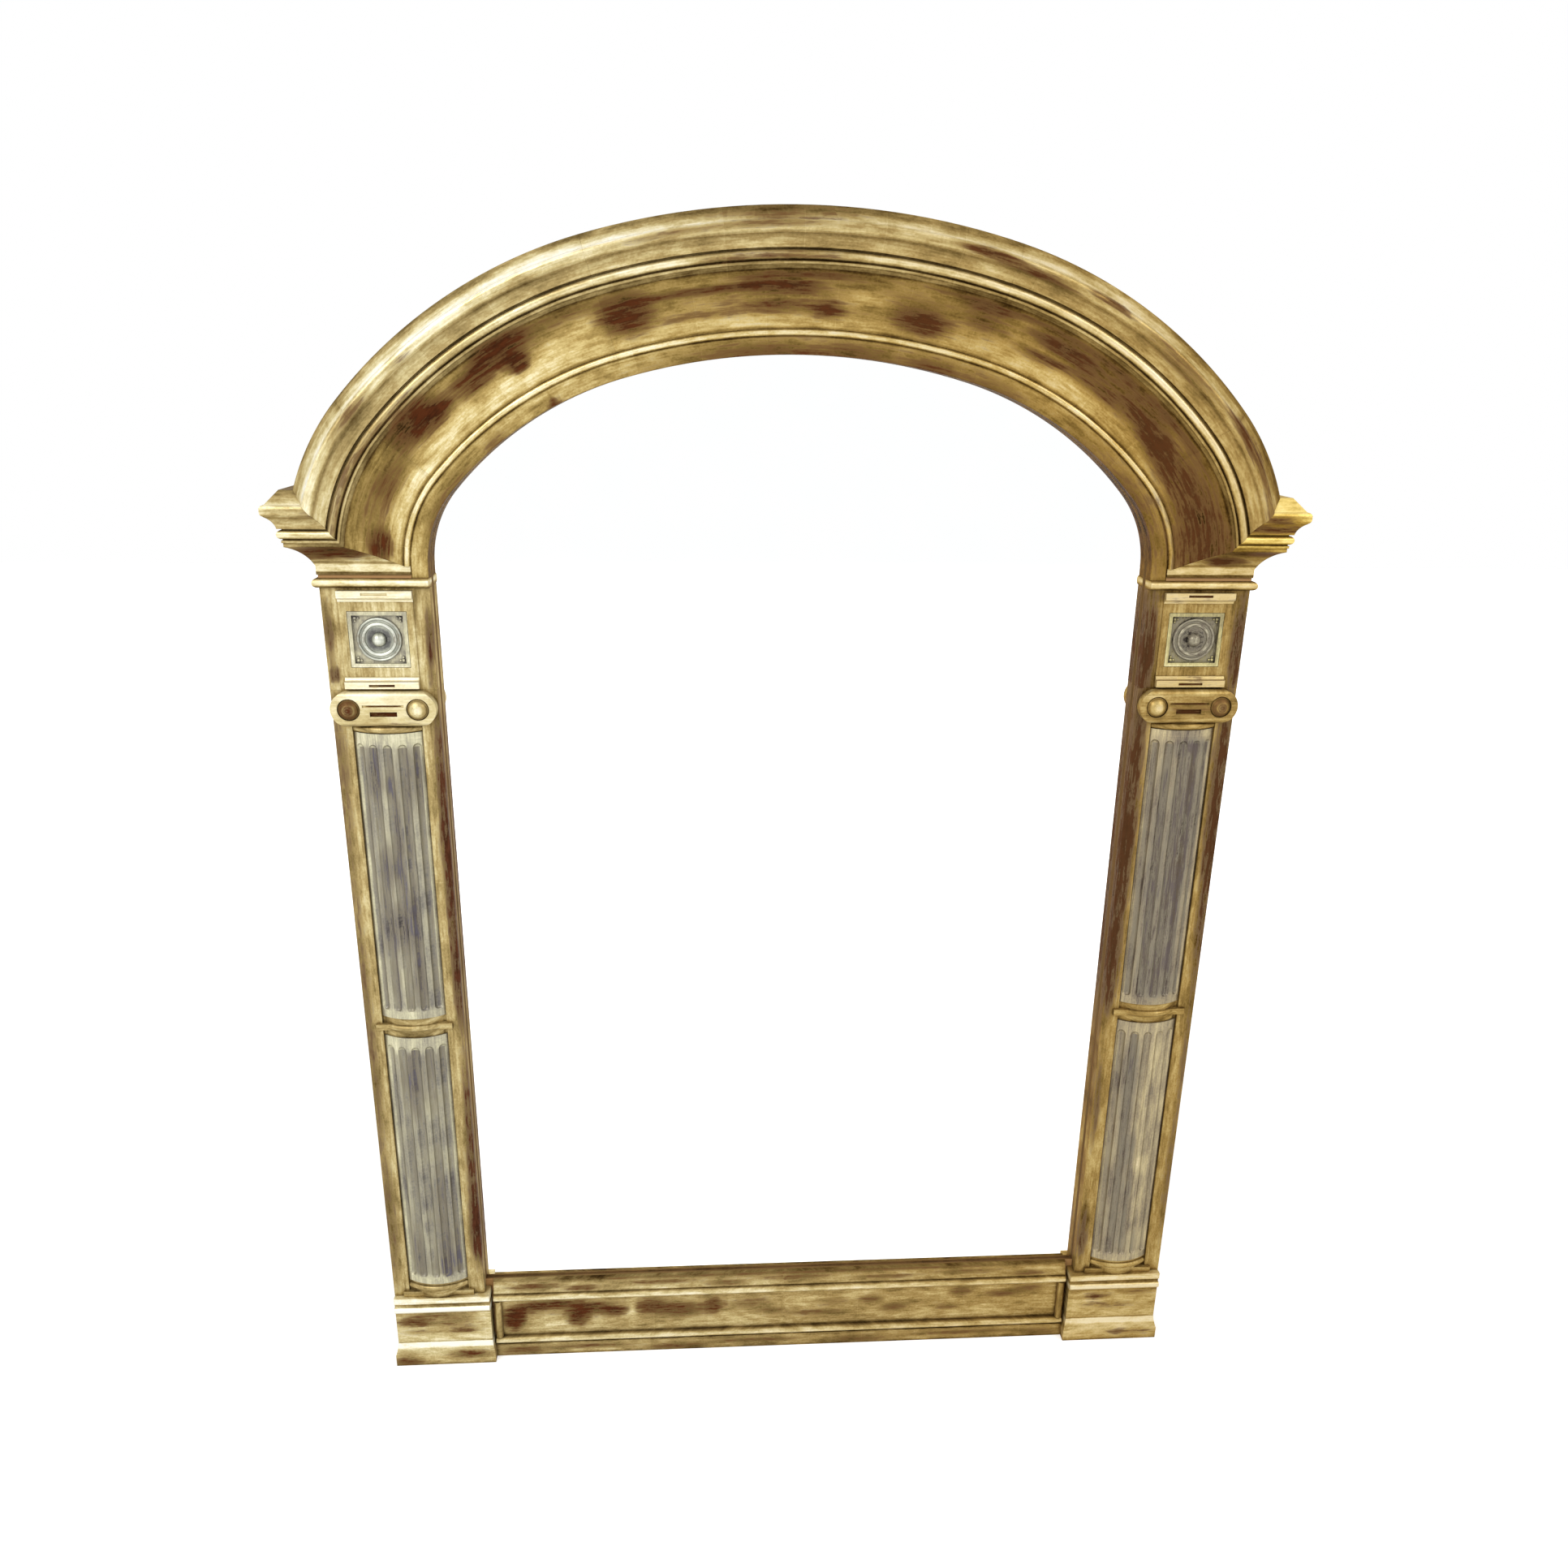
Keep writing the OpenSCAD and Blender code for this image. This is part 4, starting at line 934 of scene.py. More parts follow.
# Along and across the moulding, length and width in mm, and depth, where a negative depth is a
# painted highlight. A key stands for every node whose name holds it
RUBS_AND_HIGHLIGHTS: dict[str, tuple[Patch, ...]] = {
    "arch": patches(
        # Cove, from the left springing to the right
        (-632, 54, 20, 13, 1.1), (-585, 66, 40, 22, 0.35), (-545, 62, 34, 18, 0.42),
        (-505, 42, 16, 6, 0.5), (-479, 79, 34, 19, 1.1), (-452, 70, 20, 10, 0.75),
        (-388, 78, 40, 5, 0.9), (-392, 68, 36, 4, 0.75), (-354, 86, 32, 10, 1.1),
        (-344, 62, 15, 13, 1.05), (-400, 62, 26, 4, 0.5), (-290, 56, 44, 8, -0.2),
        (-270, 84, 50, 7, 0.3), (-206, 65, 30, 20, 1.1), (-160, 76, 40, 4, 0.5),
        (-84, 76, 44, 4, 0.7), (-40, 77, 26, 6, 0.8), (-4, 74, 24, 6, 0.8), (31, 50, 20, 7, 1.0),
        (-28, 54, 40, 5, 0.75), (-120, 50, 50, 5, 0.35), (0, 87, 70, 4, 0.5),
        (75, 66, 30, 10, -0.2), (145, 50, 32, 13, 1.05), (217, 82, 30, 6, 0.6),
        (222, 66, 26, 8, 0.35), (322, 75, 46, 7, 0.95), (300, 55, 34, 5, 0.7),
        (371, 60, 50, 8, 0.5), (440, 66, 40, 10, 0.4), (478, 60, 34, 10, 0.6),
        (505, 52, 40, 12, 0.5), (560, 56, 50, 26, 0.5), (628, 60, 46, 32, 0.52),
        (660, 72, 18, 12, 0.3), (420, 86, 120, 4, 0.55), (240, 88, 90, 3, 0.4),
        (390, 40, 70, 5, -0.2), (0, 66, 160, 24, 0.2), (190, 60, 90, 24, 0.1),
        (470, 66, 90, 24, 0.22), (640, 60, 90, 34, 0.34), (420, 74, 120, 10, 0.2),
        (-390, 42, 130, 10, -0.3), (-565, 40, 80, 8, -0.3), (-540, 62, 90, 26, -0.15),
        (-330, 74, 40, 16, 0.2),
        # Flat band along the sight edge
        (-400, 12, 190, 8, -0.65), (-620, 12, 90, 9, -0.7), (0, 6, 220, 14, 0.3),
        (520, 6, 160, 14, 0.3), (-330, 3, 10, 7, 0.9), (-425, 2, 22, 6, 0.5),
        (-520, 2, 60, 7, 0.42), (-600, 4, 40, 9, 0.35), (-60, 4, 70, 8, 0.42), (60, 5, 60, 9, 0.45),
        (170, 3, 30, 8, 0.6), (250, 2, 60, 7, 0.4), (540, 8, 90, 10, 0.3),
        # Cap
        (-20, 150, 90, 9, 0.45), (-40, 139, 60, 5, 0.3), (195, 138, 32, 5, 0.95),
        (250, 133, 46, 5, 0.6), (-140, 138, 60, 6, 0.3), (-300, 137, 26, 4, 0.4),
        (-440, 139, 26, 7, 0.6), (-512, 139, 34, 8, 0.55), (-370, 138, 110, 6, -0.35),
        (-200, 146, 120, 4, -0.3), (-580, 139, 36, 6, -0.3), (-250, 150, 60, 6, -0.2),
        (-90, 106, 26, 5, 0.5), (-10, 107, 60, 5, 0.45), (330, 141, 26, 5, 0.6),
        (430, 136, 60, 9, 0.35), (545, 141, 40, 8, 0.75), (620, 139, 30, 8, 0.45),
        # Painted highlights along the cap's outer rim and on its bead
        (310, 154, 190, 7, -0.9), (-430, 149, 230, 10, -0.6), (390, 108, 180, 6, -0.6),
        (-580, 107, 90, 6, 0.45), (-420, 108, 90, 6, 0.15),
    ),
    # Out from the middle of the mirror, and round the ends
    "ear_cap_left": patches((620, 135, 20, 7, 0.35), (600, 158, 200, 9, 0.1)),
    # On the right-hand ear, the last patch is a painted highlight over its top face
    "ear_cap_right": patches(
        (640, 135, 22, 5, 0.9), (610, 122, 90, 6, 0.75), (600, 157, 200, 11, -1.3),
    ),
    "ear_cove_left": patches((580, 30, 46, 9, 0.95), (620, 20, 20, 5, 0.4)),
    "ear_cove_right": patches((555, 22, 26, 6, 1.0), (600, 33, 34, 4, 0.6), (490, 36, 26, 6, 0.8)),
    # By height, then from the middle of the mirror, left-hand piece first
    "frieze_block": patches(
        (1142, -584, 20, 7, 0.8), (1084, -582, 10, 6, 0.75), (1110, -584, 30, 6, 0.4),
        (1172, -586, 12, 5, 0.35), (1135, -461, 34, 6, 0.8), (1095, -463, 34, 6, 0.5),
        (1129, -523, 60, 56, -0.45), (1120, 582, 60, 9, 1.1), (1110, 462, 70, 10, 1.2),
        (1186, 523, 5, 60, 0.5), (1120, 440, 90, 16, 0.8),
    ),
    # Painted highlight along the bottom bevel of each tile
    "frieze_tile": patches((1094, -523, 4, 60, -1.2), (1094, 523, 4, 60, -1.2)),
    "pilaster_face": patches(
        (850, -459, 190, 8, 1.15), (640, -460, 70, 7, 0.7), (235, -461, 60, 10, 1.1),
        (340, -460, 110, 8, 0.7), (460, -459, 90, 6, 0.5), (950, -586, 120, 9, 0.4),
        (520, -587, 160, 9, 0.42), (260, -585, 110, 9, 0.4), (740, -587, 120, 8, 0.3),
        (930, 581, 130, 12, 1.0), (760, 584, 130, 8, 0.85), (860, 462, 210, 11, 1.15),
        (520, 586, 120, 6, 0.4), (430, 461, 70, 6, 0.55), (200, 461, 50, 7, 0.8),
        (640, 461, 60, 10, 0.6), (850, 440, 330, 16, 0.7), (700, 452, 60, 12, 0.4),
        (300, 585, 110, 7, 0.4),
    ),
    # Where the silver is dulled to brown and violet
    "shaft": patches(
        (955, -538, 38, 15, 0.55), (948, -497, 42, 8, 0.5), (880, -514, 90, 5, 0.45),
        (817, -529, 34, 12, 0.5), (738, -525, 34, 16, 0.65), (742, -504, 42, 5, 0.6),
        (840, -507, 90, 4, 0.55), (660, -532, 52, 5, 0.5), (655, -504, 50, 5, 0.4),
        (760, -545, 90, 5, 0.3), (500, -524, 64, 5, 0.6), (510, -515, 60, 34, 0.2),
        (250, -500, 120, 9, 0.35), (195, -545, 66, 8, 0.4), (180, -497, 40, 7, 0.4),
        (350, -535, 60, 12, 0.15), (180, -522, 30, 20, 0.15), (900, -550, 40, 8, 0.2),
        (900, 541, 120, 18, 0.55), (850, 546, 90, 7, 0.4), (780, 540, 60, 10, 0.45),
        (640, 528, 46, 28, 0.55), (985, 540, 12, 24, 0.4), (840, 508, 130, 12, 0.4),
        (740, 520, 80, 26, 0.3), (700, 545, 40, 10, 0.3), (465, 511, 84, 14, 0.38),
        (250, 517, 84, 22, 0.26), (420, 544, 100, 17, -0.45), (245, 543, 34, 12, -0.4),
        (355, 520, 30, 16, 0.3), (330, 540, 30, 12, -0.3),
    ),
    # From the middle of the mirror, then by height
    "frieze_tablets": patches((523, 1129, 90, 90, 0.3)),
    # On the capitals, the negative patches are painted highlights, most along the cushions' tops
    "volute_capital": patches(
        (-523, 1030, 80, 10, 0.3), (-523, 1067, 70, 9, -0.5), (523, 1052, 60, 14, 0.25),
        (523, 1066, 70, 7, -0.5), (500, 1030, 60, 9, -0.3),
    ),
    "plinth_block": patches(
        (-568, 76, 24, 8, 0.8), (-540, 84, 40, 4, 0.6), (-500, 82, 30, 4, 0.5),
        (-494, 60, 26, 5, 0.75), (-520, 70, 40, 4, 0.45), (-560, 56, 30, 4, 0.35),
        (500, 80, 24, 6, 0.6), (520, 62, 50, 5, 0.45), (560, 84, 30, 4, 0.5),
    ),
    # On the plinth caps, the two negative patches are painted highlights along the fillet and bead
    "plinth_cap": patches(
        (-520, 100, 90, 6, -0.6), (-520, 117, 90, 5, -0.6), (-540, 108.5, 60, 2, 0.6),
    ),
    "plinth_foot": patches((-588, 8, 26, 8, 0.7), (-492, 18, 34, 6, 0.75), (560, 14, 40, 6, 0.45)),
    "rail_panel": patches(
        (-424, 62, 14, 20, 1.05), (-398, 84, 22, 7, 0.7), (-360, 88, 34, 7, 0.75),
        (-326, 66, 16, 20, 0.95), (-300, 80, 24, 10, 0.7), (-271, 72, 18, 10, 0.7),
        (-215, 78, 30, 16, 0.6), (-165, 70, 30, 14, 0.55), (-118, 76, 14, 16, 0.75),
        (-60, 78, 40, 10, 0.35), (-378, 55, 26, 10, -0.3), (-20, 62, 34, 6, 0.4),
        (147, 78, 20, 8, 0.6), (182, 60, 24, 8, 0.55), (288, 86, 20, 8, 0.65),
        (268, 58, 22, 6, 0.5), (353, 80, 34, 7, 0.6), (60, 56, 50, 6, 0.45), (400, 88, 30, 5, 0.5),
        (90, 74, 30, 10, 0.3), (230, 70, 40, 8, 0.25), (-335, 78, 80, 18, 0.22),
        (-190, 78, 70, 18, 0.12), (-424, 72, 30, 20, 0.25), (250, 74, 160, 26, -0.1),
        (-243, 70, 8, 26, -0.35),
    ),
    "rail_sight": patches(
        (-392, 122, 40, 4, 0.6), (-318, 118, 26, 4, 0.6), (-205, 123, 60, 3, 0.55),
        (-98, 119, 34, 4, 0.5), (20, 123, 70, 3, 0.5), (168, 120, 50, 3, 0.5),
        (300, 123, 60, 3, 0.45), (395, 118, 30, 4, 0.45), (0, 130, 430, 3, 0.4),
    ),
    "rail_foot": patches(
        (-404, 10, 40, 5, 0.6), (-300, 14, 60, 4, 0.5), (-170, 8, 50, 5, 0.55),
        (-40, 13, 70, 4, 0.45), (120, 9, 50, 5, 0.45), (290, 13, 80, 4, 0.45), (410, 9, 30, 5, 0.4),
    ),
}


def rubs_on(node: str) -> tuple[Patch, ...]:
    """The rubbed places and painted highlights of a node, or none."""
    return next((rubs_and_highlights for part, rubs_and_highlights in RUBS_AND_HIGHLIGHTS.items() if part in node), ())


# ---- Sub-assemblies ----


def upright(at: Vector) -> tuple[float, float]:
    """Grain that runs up a piece: height, then width carried on round the sides."""
    return at.z, at.x - at.y


def level(at: Vector) -> tuple[float, float]:
    """Grain that runs along a level piece: width carried on round the ends, then height."""
    return at.x + math.copysign(at.y, at.x), at.z


def level_round(at: Vector) -> tuple[float, float]:
    """Grain that runs along a level piece, with its height carried on over top and bottom."""
    return at.x, at.z - at.y


def turned(at: Vector, centre: Vector, radius: float) -> tuple[float, float]:
    """Grain that runs round a turned piece, and outwards from its centre.

    Args:
        at: the point.
        centre: a point on the piece's axis.
        radius: where the grain is as long on the map as on the piece.

    Returns:
        The place along and across the grain.
    """
    out = (at - centre).xz
    turn = math.atan2(out.y, out.x) if out.length > MERGE else 0.0
    return abs(turn) * radius, out.length


@dataclass
class SubAssembly:
    """Common ground of the mirror's sub-assemblies: their frame nodes and what they have made."""

    nodes: dict[str, Object]
    made: list[Object] = field(default_factory=list)

    def carve(
        self,
        node: str,
        finish: Leaf,
        slot: Slot,
        marker: Marker,
        cuts: Cuts = (),
        soften: float = 0.8 * MM,
        worn: WearAndLight | None = None,
        shape: Callable[[BMesh], None] | None = None,
    ) -> Object:
        """Carves a piece from a frame node, softened and marked, and hides the node.

        Args:
            node: the frame node's name.
            finish: the piece's leaf.
            slot: the record's slot of that finish.
            marker: gives the place along and across the moulding.
            cuts: an axis and a step for each direction that is sliced.
            soften: rounding of the arrises.
            worn: further rubbing, painted highlight and painted shade at a vertex.
            shape: further work on the mesh before it is finished.

        Returns:
            The piece, named for the node.
        """
        bm = copied(self.nodes[node])
        for axis, step in cuts:
            slices(bm, axis, step)
        if shape:
            shape(bm)
        piece = finish_mesh(
            node + "_leafed", bm, (finish.material(),), marker, rubs_on(node), soften, worn
        )
        return self.keep(piece, slot, node)

    def keep(self, piece: Object, slot: Slot, *nodes: str) -> Object:
        """Notes a finished piece.

        Args:
            piece: the piece.
            slot: the record's slot of its finish; not used.
            nodes: the frame nodes that it stands for, if any.

        Returns:
            The piece.
        """
        if nodes:
            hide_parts(*nodes)
        self.made.append(piece)
        return piece

    def dress(self, finish: Material, *names: str) -> None:
        """Gives frame nodes that keep their own shape a finish, on their objects' slots.

        Args:
            finish: the finish.
            names: the nodes' names.
        """
        for name in names:
            for place in self.nodes[name].material_slots:
                place.material = finish

    def report(self) -> None:
        """Logs each piece with its number of faces."""
        for piece in self.made:
            LOG.info("%s: %s, %d faces", type(self).__name__, piece.name, len(piece.data.polygons))


@dataclass
class Arch(SubAssembly):
    """The cove and cap mouldings that run over the opening in five segments each."""

    plan: ArchPlan | None = None
    top_w: float = 160 * MM
    turned_lift: float = 27 * MM
    # Further out than this, what lies behind this lift is on the outer side of the cap
    side_w: float = 120 * MM
    side_lift: float = -15 * MM
    # How near the edge of the section a point counts as on its side
    near: float = 0.5 * MM

    def build(self) -> None:
        """Carves the ten segments."""
        for kind, finish, slot in (
            ("arch_cove", COVE, Slot.WORN_GILDING),
            ("arch_cap", CAP, Slot.GILDING),
        ):
            for part in ("haunch_left", "shoulder_left", "crown", "shoulder_right", "haunch_right"):
                self.carve(
                    f"{kind}_{part}", finish, slot, self.mark, soften=FINE_ARRIS,
                    shape=self.plan.cut_across,
                )

    def mark(self, at: Vector) -> tuple[float, float]:
        """The place along and across the arch, carried on round its inner and outer sides.

        Args:
            at: the point.

        Returns:
            The place along and across the moulding.
        """
        run, across = self.plan.locate(at.x, at.z)
        lift = FACE_Y - at.y
        if across < self.near:
            return run, across + min(0.0, lift)
        if across > self.top_w - self.near or (across > self.side_w and lift < self.side_lift):
            return run, self.top_w + max(0.0, self.turned_lift - lift)
        return run, across


@dataclass
class Cornice(SubAssembly):
    """The two ears of the cornice, with the astragals under them."""

    cap_w0: float = 93 * MM
    cuts: Cuts = ((X, 8 * MM),)

    def build(self) -> None:
        """Carves ear caps, ear coves and astragals."""
        for side in Side:
            cap_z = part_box(f"ear_cap_{side.word}")[0].z
            lip_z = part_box(f"ear_cove_{side.word}")[0].z
            foot_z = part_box(f"astragal_{side.word}")[0].z
            for node, finish, base in (
                ("ear_cap", CAP if side is Side.LEFT else EAR_CAP_RIGHT, self.cap_w0 - cap_z),
                ("ear_cove", EAR_COVE, -lip_z),
                ("astragal", ASTRAGAL, -foot_z),
            ):
                self.carve(
                    f"{node}_{side.word}", finish, Slot.GILDING,
                    lambda at, base=base: (abs(at.x) - at.y, base + at.z), self.cuts, FINE_ARRIS,
                )


@dataclass
class Frieze(SubAssembly):
    """Frieze blocks, each with a silvered tile, a turned roundel and two tablets."""

    middle_z: float = 1129 * MM
    block_cuts: Cuts = ((Z, 8 * MM), (X, 6 * MM))
    tablet_cuts: Cuts = ((X, 8 * MM),)
    # The tile's sunk ground lies behind this, and the floor of a tablet's slot between these
    ground_y: float = 2.5 * MM
    slot_y: tuple[float, float] = (FACE_Y - 7.5 * MM, FACE_Y - 6 * MM)
    roundel_r: float = 28 * MM
    spoke_reach: float = 30 * MM
    grain_r: float = 20 * MM
    sprig_lift: float = -1.0 * MM
    corner_in: float = 8.5 * MM
    sprig_r: float = 2.3 * MM
    # From the middle of the large pearl to that of a small one, by the large one's radius
    sprig_step: float = 1.7
    small: float = 0.7

    def build(self) -> None:
        """Carves blocks, tiles, tablets and roundels, and sets sprigs in the tiles' corners."""
        for side in Side:
            self.carve(
                f"frieze_block_{side.word}", STILE, Slot.WORN_GILDING, upright, self.block_cuts
            )
            self.carve(
                f"frieze_tile_{side.word}", TILE, Slot.SILVER_LEAF, upright, soften=0.6 * MM,
                worn=self._ground,
            )
            self._sprigs(side)
        self.carve(
            "frieze_tablets", TABLET, Slot.GILDING, level_round, self.tablet_cuts, FINE_ARRIS,
            self._slot,
        )
        self.carve(
            "roundels", ROUNDEL, Slot.SILVER_LEAF, self._turned, soften=0.0, worn=self._turned_wear,
            shape=self._spokes,
        )

    def _ground(self, at: Vector) -> float:
        """The tile's sunk ground is duller than its rim, most on the right."""
        sunk = 0.55 if at.x > 0 else 0.1
        return sunk if at.y > self.ground_y else -0.15

    def _slot(self, at: Vector) -> float:
        """The floor of a tablet's slot keeps its glaze, least in the upper left one.

        Args:
            at: the point.

        Returns:
            The rubbing there.
        """
        sunk = self.slot_y[0] < at.y < self.slot_y[1]
        upper_left = at.x < 0 and at.z > self.middle_z
        return (0.1 if upper_left else 1.1) if sunk else 0.0

    def _turned(self, at: Vector) -> tuple[float, float]:
        """Grain that runs round a roundel, and outwards from its centre."""
        return turned(at, Vector((math.copysign(AXIS_X, at.x), 0, self.middle_z)), self.grain_r)

    def _turned_wear(self, at: Vector) -> float:
        """The right roundel is dulled all over, and the left one at its sides."""
        return 0.6 if at.x > 0 else 0.5 * min(1.0, abs(at.x + AXIS_X) / self.roundel_r)

    def _spokes(self, bm: BMesh) -> None:
        """Cuts both roundels like a cake, so that their rings keep round."""
        for x in (-AXIS_X, AXIS_X):
            spokes(bm, Vector((x, 0, self.middle_z)), self.spoke_reach)

    def _sprigs(self, side: Side) -> None:
        """Sets a sprig of three small pearls in each corner of a tile.

        Args:
            side: the tile's side.
        """
        low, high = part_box(f"frieze_tile_{side.word}")
        step = self.sprig_r * self.sprig_step
        bm = bmesh.new()
        for x, right in ((low.x + self.corner_in, step), (high.x - self.corner_in, -step)):
            for z, up in ((low.z + self.corner_in, step), (high.z - self.corner_in, -step)):
                for at_x, at_z, size in (
                    (x, z, 1.0), (x + right, z, self.small), (x, z + up, self.small),
                ):
                    bmesh.ops.create_uvsphere(
                        bm, u_segments=14, v_segments=8, radius=self.sprig_r * size,
                        matrix=Matrix.Translation((at_x, FACE_Y - self.sprig_lift, at_z)),
                    )
        piece = finish_mesh(
            f"frieze_sprigs_{side.word}", bm, (TILE.material(),), lambda at: (at.z, 2 * MM), soften=0.0
        )
        self.keep(piece, Slot.SILVER_LEAF)


@dataclass
class Capital(SubAssembly):
    """Cushion capitals with round ends, their turned bosses, and the rings under them."""

    cuts: Cuts = ((X, 8 * MM),)
    # The slot in the cushion's front, by half its width, its height and its depth
    slot_half: float = 18 * MM
    slot_z: tuple[float, float] = (1024 * MM, 1060 * MM)
    slot_y: tuple[float, float] = (FACE_Y - 11.8 * MM, -2 * MM)
    # Middle of each boss, from the pilaster's axis
    boss_out: float = 43 * MM
    boss_z: float = 1041 * MM
    boss_foot_y: float = FACE_Y - 12.5 * MM
    spoke_reach: float = 16 * MM
    grain_r: float = 10 * MM
    # Bosses further out than this are the outermost ones
    outer_x: float = 545 * MM

    def build(self) -> None:
        """Carves capitals, neck rings and bosses."""
        for side in Side:
            self.carve(
                f"volute_capital_{side.word}", CUSHION if side is Side.LEFT else GOLD, Slot.GILDING,
                level_round, self.cuts, worn=self._slot,
            )
            self.carve(f"neck_ring_{side.word}", GOLD, Slot.GILDING, level_round, soften=FINE_ARRIS)
        self.carve(
            "volute_bosses", BOSS, Slot.GILDING, self._boss_mark, soften=0.4 * MM,
            worn=self._boss_rub, shape=self._boss_spokes,
        )

    def _boss_mark(self, at: Vector) -> tuple[float, float]:
        """Grain that runs round the boss that a point belongs to, and outwards from its centre."""
        x = AXIS_X + math.copysign(self.boss_out, abs(at.x) - AXIS_X)
        return turned(at, Vector((math.copysign(x, at.x), 0, self.boss_z)), self.grain_r)

    def _boss_spokes(self, bm: BMesh) -> None:
        """Cuts each boss like a cake, so that its rings keep round."""
        for axis in (-AXIS_X, AXIS_X):
            for out in (-self.boss_out, self.boss_out):
                spokes(bm, Vector((axis + out, 0, self.boss_z)), self.spoke_reach)

    def _slot(self, at: Vector) -> float:
        """The floor of the slot keeps its glaze.

        Args:
            at: the point.

        Returns:
            The rubbing there.
        """
        sunk = self.slot_y[0] <= at.y < self.slot_y[1] and self.slot_z[0] < at.z < self.slot_z[1]
        return 1.1 if sunk and abs(abs(at.x) - AXIS_X) < self.slot_half else 0.0

    def _boss_rub(self, at: Vector) -> float:
        """A boss has painted shade round its foot, where it meets the cushion, and the outermost ones
        are dulled all over.

        Args:
            at: the point.

        Returns:
            The rubbing there.
        """
        foot = 0.9 if at.y > self.boss_foot_y else 0.0
        if at.x < -self.outer_x:
            return max(0.55, foot)
        return max(0.4, foot) if at.x > self.outer_x else foot


@dataclass
class Pilaster(SubAssembly):
    """Face boards with fluted, silvered half-shafts and the rings between them."""

    face_cuts: Cuts = ((Z, 14 * MM), (X, 6 * MM))
    shaft_cuts: Cuts = ((Z, 10 * MM), (X, 5 * MM))
    flute_depth: float = 4 * MM
    # Half a shaft's width by the radius of its round, and that radius by half the width
    half_by_r: float = 0.62
    r_by_half: float = 1.61
    # The smooth border of a shaft, as a share of half its width, and at its foot and its head
    border: float = 0.88
    border_foot: float = 12 * MM
    border_head: float = 20 * MM
    # Height that parts the upper shafts from the lower ones
    parting_z: float = 580 * MM

    def build(self) -> None:
        """Carves face boards, shafts and rings."""
        for side in Side:
            self.carve(
                f"pilaster_face_{side.word}", STILE, Slot.WORN_GILDING, upright, self.face_cuts,
                0.6 * MM,
            )
            for part in ("upper_shaft", "lower_shaft"):
                name = f"{part}_{side.word}"
                low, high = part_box(name)
                self.carve(
                    name, SILVER, Slot.SILVER_LEAF, upright, self.shaft_cuts, 0.4 * MM,
                    lambda at, low=low, high=high: self._fluted(at, low, high),
                )
            for part in ("mid_ring", "base_ring"):
                self.carve(
                    f"{part}_{side.word}", GOLD, Slot.GILDING, level_round, soften=FINE_ARRIS
                )

    def _fluted(self, at: Vector, low: Vector, high: Vector) -> float:
        """The flutes are duller than the ridges between them, and the smooth border is bright.

        Args:
            at: the point.
            low: the lowest corner of the shaft's box.
            high: the highest corner.

        Returns:
            The rubbing there.
        """
        half = (high.x - low.x) / 2
        aside = (at.x - (low.x + high.x) / 2) / half
        over_foot, under_head = at.z - low.z, high.z - at.z
        if abs(aside) > self.border or over_foot < self.border_foot or under_head < self.border_head:
            return -0.1 if at.x > 0 else -0.4
        # Round of the shaft without its flutes, from the front of the box to its edge
        sag = 1 - math.sqrt(max(0.0, 1 - (aside * self.half_by_r) ** 2))
        round_y = low.y + sag * half * self.r_by_half
        deep = min(1.0, max(0.0, (at.y - round_y) / self.flute_depth))
        return 0.1 + (0.25 if at.z > self.parting_z else 0.12) * deep


@dataclass
class Plinth(SubAssembly):
    """Plinth blocks with the mouldings at their tops and feet."""

    cuts: Cuts = ((X, 8 * MM), (Z, 7 * MM))

    def build(self) -> None:
        """Carves blocks, caps and feet."""
        for side in Side:
            block, cap, foot = (f"plinth_{part}_{side.word}" for part in ("block", "cap", "foot"))
            self.carve(block, PLINTH, Slot.WORN_GILDING, level, self.cuts)
            self.carve(cap, PLINTH, Slot.GILDING, level, self.cuts[:1], FINE_ARRIS)
            self.carve(foot, PLINTH, Slot.GILDING, level, self.cuts)


@dataclass
class BottomRail(SubAssembly):
    """The sunk panel of the bottom rail and the mouldings round it."""

    cuts: Cuts = ((X, 10 * MM), (Z, 7 * MM))

    def build(self) -> None:
        """Carves panel and mouldings."""
        self.carve("rail_panel", RAIL, Slot.WORN_GILDING, level, self.cuts)
        self.carve("rail_sight_moulding", RAIL, Slot.GILDING, level, self.cuts)
        self.carve("rail_foot_moulding", RAIL, Slot.GILDING, level, self.cuts)
        self.carve("rail_end_beads", GOLD, Slot.GILDING, upright)


